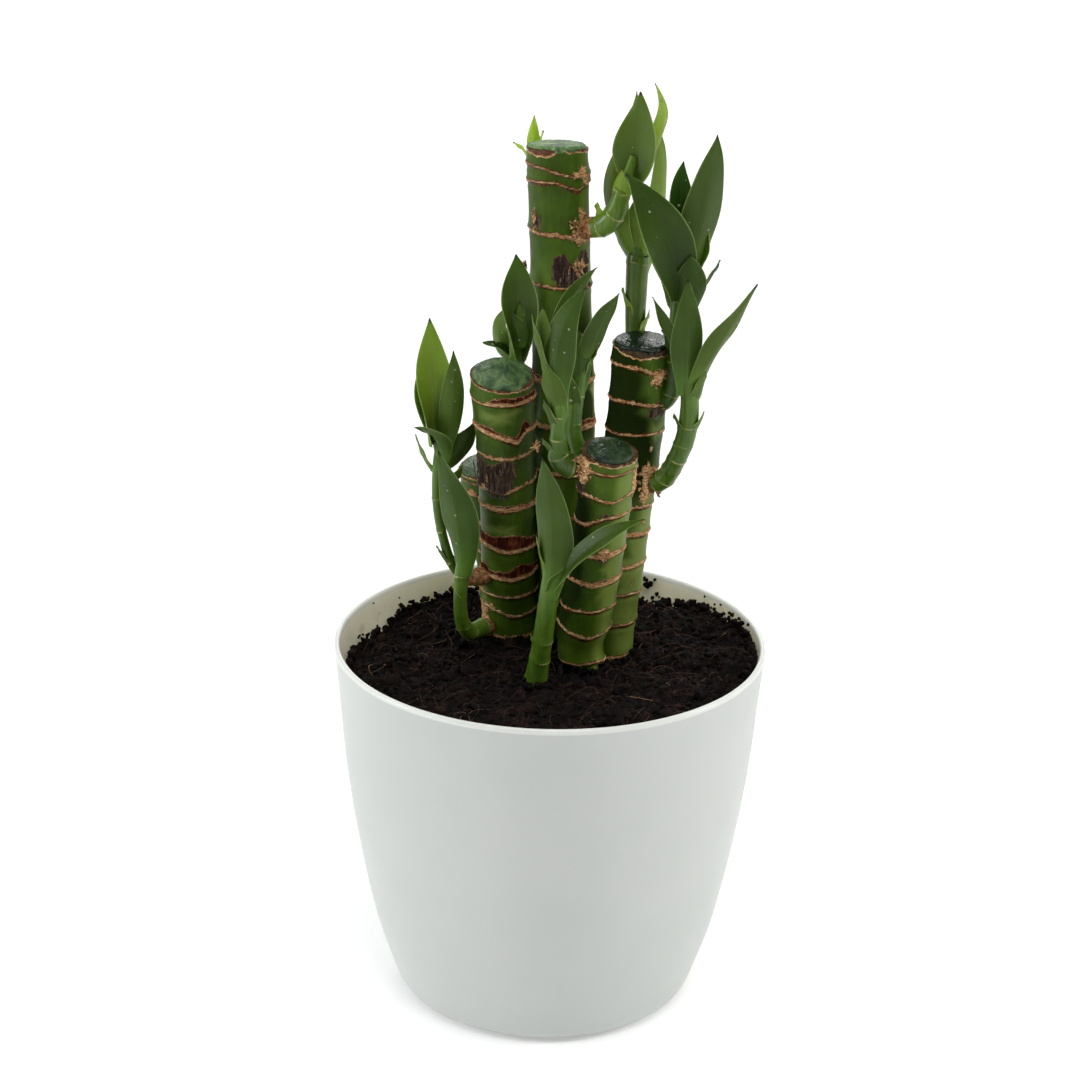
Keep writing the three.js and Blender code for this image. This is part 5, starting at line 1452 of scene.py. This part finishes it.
def stem(name, build, seed):
    rows, run = smooth_path(build["stem"], 9)
    piece = column(f"{name}_stem", len(rows) - 1, STEM_SIDES)
    spots = read_points(piece)
    turn = np.arctan2(spots[:, 1], spots[:, 0])
    row = np.clip(np.round(spots[:, 2]).astype(int), 0, len(rows) - 1)
    ahead = unit(np.gradient(rows[:, :3], axis=0))
    side = np.zeros_like(ahead)
    side[0] = unit(np.cross(ahead[0], (0.3, 1, 0.2)))
    for k in range(1, len(rows)):
        side[k] = unit(side[k - 1] - (side[k - 1] @ ahead[k]) * ahead[k])
    lift = np.cross(ahead, side)
    gaps = run[row][:, None] - np.array(list(build["rings"]) + [-50.0])[None, :]
    gaps = gaps + 0.35 * ripple(turn, seed, (1, 2, 3), 0.6)[:, None]
    nearest = np.take_along_axis(gaps, np.abs(gaps).argmin(axis=1)[:, None], axis=1)[:, 0]
    bark = np.clip((build.get("bark", 5) - run[row]) / 2.5 + 0.5, 0, 1)
    rough = 0.22 * ripple(turn + 0.9 * run[row], seed + 2, (3, 5, 8), 0.4)
    radius = (rows[row, 3] + bark * rough + 0.28 * np.exp(-(nearest / 0.6) ** 2)
              + 0.08 * ripple(turn, seed + 1, (2, 3), 0.5))
    out = side[row] * np.cos(turn)[:, None] + lift[row] * np.sin(turn)[:, None]
    write_points(piece, (rows[row, :3] + out * radius[:, None]) * MM)
    for look in (BLADE_BACK, BLADE_FRONT, SHOOT_STEM):
        piece.data.materials.append(look)
    for face in piece.data.polygons:
        face.material_index = STEM_LOOK
    write_mark(piece, "fresh_and_lit", np.full(len(spots), build["fresh_and_lit"]))
    write_mark(piece, "ring_gap", np.abs(nearest))
    write_mark(piece, "bark", bark)
    write_mark(piece, "dark", np.interp(run[row], *zip(*build.get("dark", [(0, 0)]))))
    write_mark(piece, "dry_tip", np.zeros(len(spots)))
    return piece


def shoot(name, seed):
    """Stem and blades, joined as one piece."""
    build = SHOOTS[name]
    parts = [stem(name, build, seed)]
    for k, leaf in enumerate(build["leaves"]):
        parts.append(blade(f"{name}_blade_{k}", leaf, seed + 10 * k, build["fresh_and_lit"]))
    bpy.ops.object.select_all(action="DESELECT")
    for part in parts:
        part.select_set(True)
    bpy.context.view_layer.objects.active = parts[0]
    bpy.ops.object.join()
    piece = bpy.context.object
    piece.name = piece.data.name = f"{name}_leafy_shoot"
    finish_piece(piece, None, "leaf", f"{name}_shoot", angle=55)


# Torn bark and tatters

def bark_chips(name, seed, nests):
    """Crumbly torn bark. Each nest: centre, the way out, radius, how many chips and how dark they are."""
    rng = np.random.default_rng(seed)
    points, faces, shades = [], [], []
    for centre, out, reach, count, dark in nests:
        out = unit(np.array(out, float))
        side = unit(np.cross(out, (0.2, 0.3, 1.0)))
        lift = np.cross(out, side)
        for _ in range(count):
            angle, far = rng.uniform(0, TAU), reach * rng.uniform(0.35, 1.0)
            spot = np.array(centre) + side * far * math.cos(angle) + lift * far * math.sin(angle)
            spot = spot + out * rng.uniform(-0.2, 0.7)
            length, width = rng.uniform(1.2, 3.4), rng.uniform(0.4, 1.3)
            along = unit(side * math.cos(angle) + lift * math.sin(angle) + out * rng.normal(0.7, 0.5)
                         + rng.normal(0, 0.3, 3))
            across = unit(np.cross(along, out + rng.normal(0, 0.3, 3)))
            normal = np.cross(along, across)
            first = len(points)
            for share, thin in ((-0.5, 0.7), (0.0, 1.0), (0.5, 0.35)):
                bow = normal * (0.25 * math.cos(share * 3))
                for edge in (-1, 1):
                    for face in (-1, 1):
                        corner = spot + along * length * share + across * edge * width * thin / 2
                        points.append((corner + bow + normal * face * 0.13) * MM)
            faces += strip_faces(first, 3)
            shades.extend([np.clip(rng.normal(dark, 0.2), 0, 1)] * 12)
    piece = mesh_of(name, points, faces)
    face_outward(piece)
    write_mark(piece, "shade", shades)
    finish_piece(piece, [TORN_BARK], "cane", angle=60)


def husk_tatters(name, seed):
    """Dry fibrous strips that still cling to the canes' husk scars, free at their upper ends."""
    rng = np.random.default_rng(seed)
    points, faces, shades = [], [], []
    for build in CANES.values():
        radius = build["profile"][-1][1]
        for azimuth, level, half_width, half_height in build["husks"]:
            for _ in range(int(half_width * half_height * 0.25) + 2):
                turn = math.radians(azimuth) + rng.uniform(-0.95, 0.95) * half_width / radius
                low = level + half_height * rng.uniform(-1.05, 0.1)
                length = half_height * rng.uniform(0.5, 1.25)
                width = rng.uniform(0.25, 0.8)
                lift = rng.uniform(0.1, 0.55)
                shade = 1.0 if rng.uniform() < 0.86 else rng.uniform(0.3, 0.8)
                lean = rng.normal(0, 0.5)
                first = len(points)
                for row in range(6):
                    t = row / 5
                    middle = axis_at(build, np.array([low + length * t]))[0]
                    out = radius + 0.45 + lift * t ** 2 + 0.1 * math.sin(9 * t + azimuth)
                    half = width * (1 - 0.75 * t ** 3) / 2 / radius
                    for edge in (-1, 1):
                        swing = turn + edge * half + lean * t / radius
                        aim = np.array((math.cos(swing), math.sin(swing), 0))
                        points.append((middle + aim * (out + 0.12)) * MM)
                        points.append((middle + aim * (out - 0.12)) * MM)
                faces += strip_faces(first, 6)
                shades.extend([shade] * 24)
    piece = mesh_of(name, points, faces)
    face_outward(piece)
    write_mark(piece, "shade", shades)
    finish_piece(piece, [TORN_BARK], "cane", angle=60)


def strip_faces(first, rows):
    """The faces of a flat strip whose rows hold four points: both faces at one edge, then at the other."""
    faces = [(first, first + 2, first + 3, first + 1)]
    for row in range(rows - 1):
        a = first + 4 * row
        faces += [(a, a + 4, a + 6, a + 2), (a + 1, a + 3, a + 7, a + 5),
                  (a, a + 1, a + 5, a + 4), (a + 2, a + 6, a + 7, a + 3)]
    last = first + 4 * (rows - 1)
    faces.append((last, last + 1, last + 3, last + 2))
    return faces


CHIP_NESTS = [
    ((7.2, 20.6, 273.5), (0.6, -0.8, 0.1), 4.4, 70, 0.1),
    ((10, -23, 203), (-0.6, -0.7, 0), 3.8, 44, 0.1),
    ((-23, 23.5, 124.5), (-0.8, -0.5, 0.1), 4.2, 44, 0.05),
    ((-24.5, 26, 143.5), (-1, -0.3, 0), 4.0, 34, 0.3),
    ((36, 8, 186), (0.9, -0.4, 0), 4.0, 34, 0.2),
    ((31, 4, 188), (0.6, -0.8, 0.2), 4.5, 30, 0.1),
    ((34.3, 2.6, 226.6), (0.6, -0.8, 0), 3.2, 30, 0.1),
    ((36, 6, 217), (0.8, -0.5, 0), 3.4, 20, 0.9),
    ((6.9, 20.4, 259.5), (0.4, -0.8, 0.2), 2.4, 16, 0.2),
    ((-11.4, 28.4, 257), (-1, -0.1, 0.1), 1.6, 10, 0.1),
    ((17.4, -20.8, 171.5), (0.3, -0.9, 0), 1.8, 14, 0.2),
    ((-6, -14, 207), (-0.4, -0.9, 0.3), 1.2, 8, 0.0),
]

CANE_RIND = cane_rind()
SEALING_WAX = sealing_wax()
BLADE_BACK = blade_face("blade_back", paint(48, 76, 19), paint(62, 92, 27), 0.42, paint(96, 126, 60), False)
BLADE_FRONT = blade_face("blade_front", paint(33, 63, 6), paint(48, 81, 11), 0.32, paint(74, 108, 30), True)
SHOOT_STEM = shoot_stem()
TORN_BARK = torn_bark()
PEAT_CRUMB = peat("peat_crumb", True)

place_camera()
studio()
pot()
soil()
crumbs("fine_crumbs", 11, 2600, (0.45, 1.3))
crumbs("coarse_crumbs", 12, 700, (1.0, 2.4))
crumbs("wall_crumbs", 13, 900, (0.5, 1.7), ring=True)
clinging_crumbs("clinging_crumbs", 15)
foot_crumbs("foot_crumbs", 16)
fibres("coconut_fibres", 14, 460)
for number, name in enumerate(CANES):
    cane(name, number)
for number, name in enumerate(SHOOTS):
    shoot(name, 1000 + 100 * number)
water_drops("water_drops")
bark_chips("bark_chips", 21, CHIP_NESTS)
husk_tatters("husk_tatters", 22)
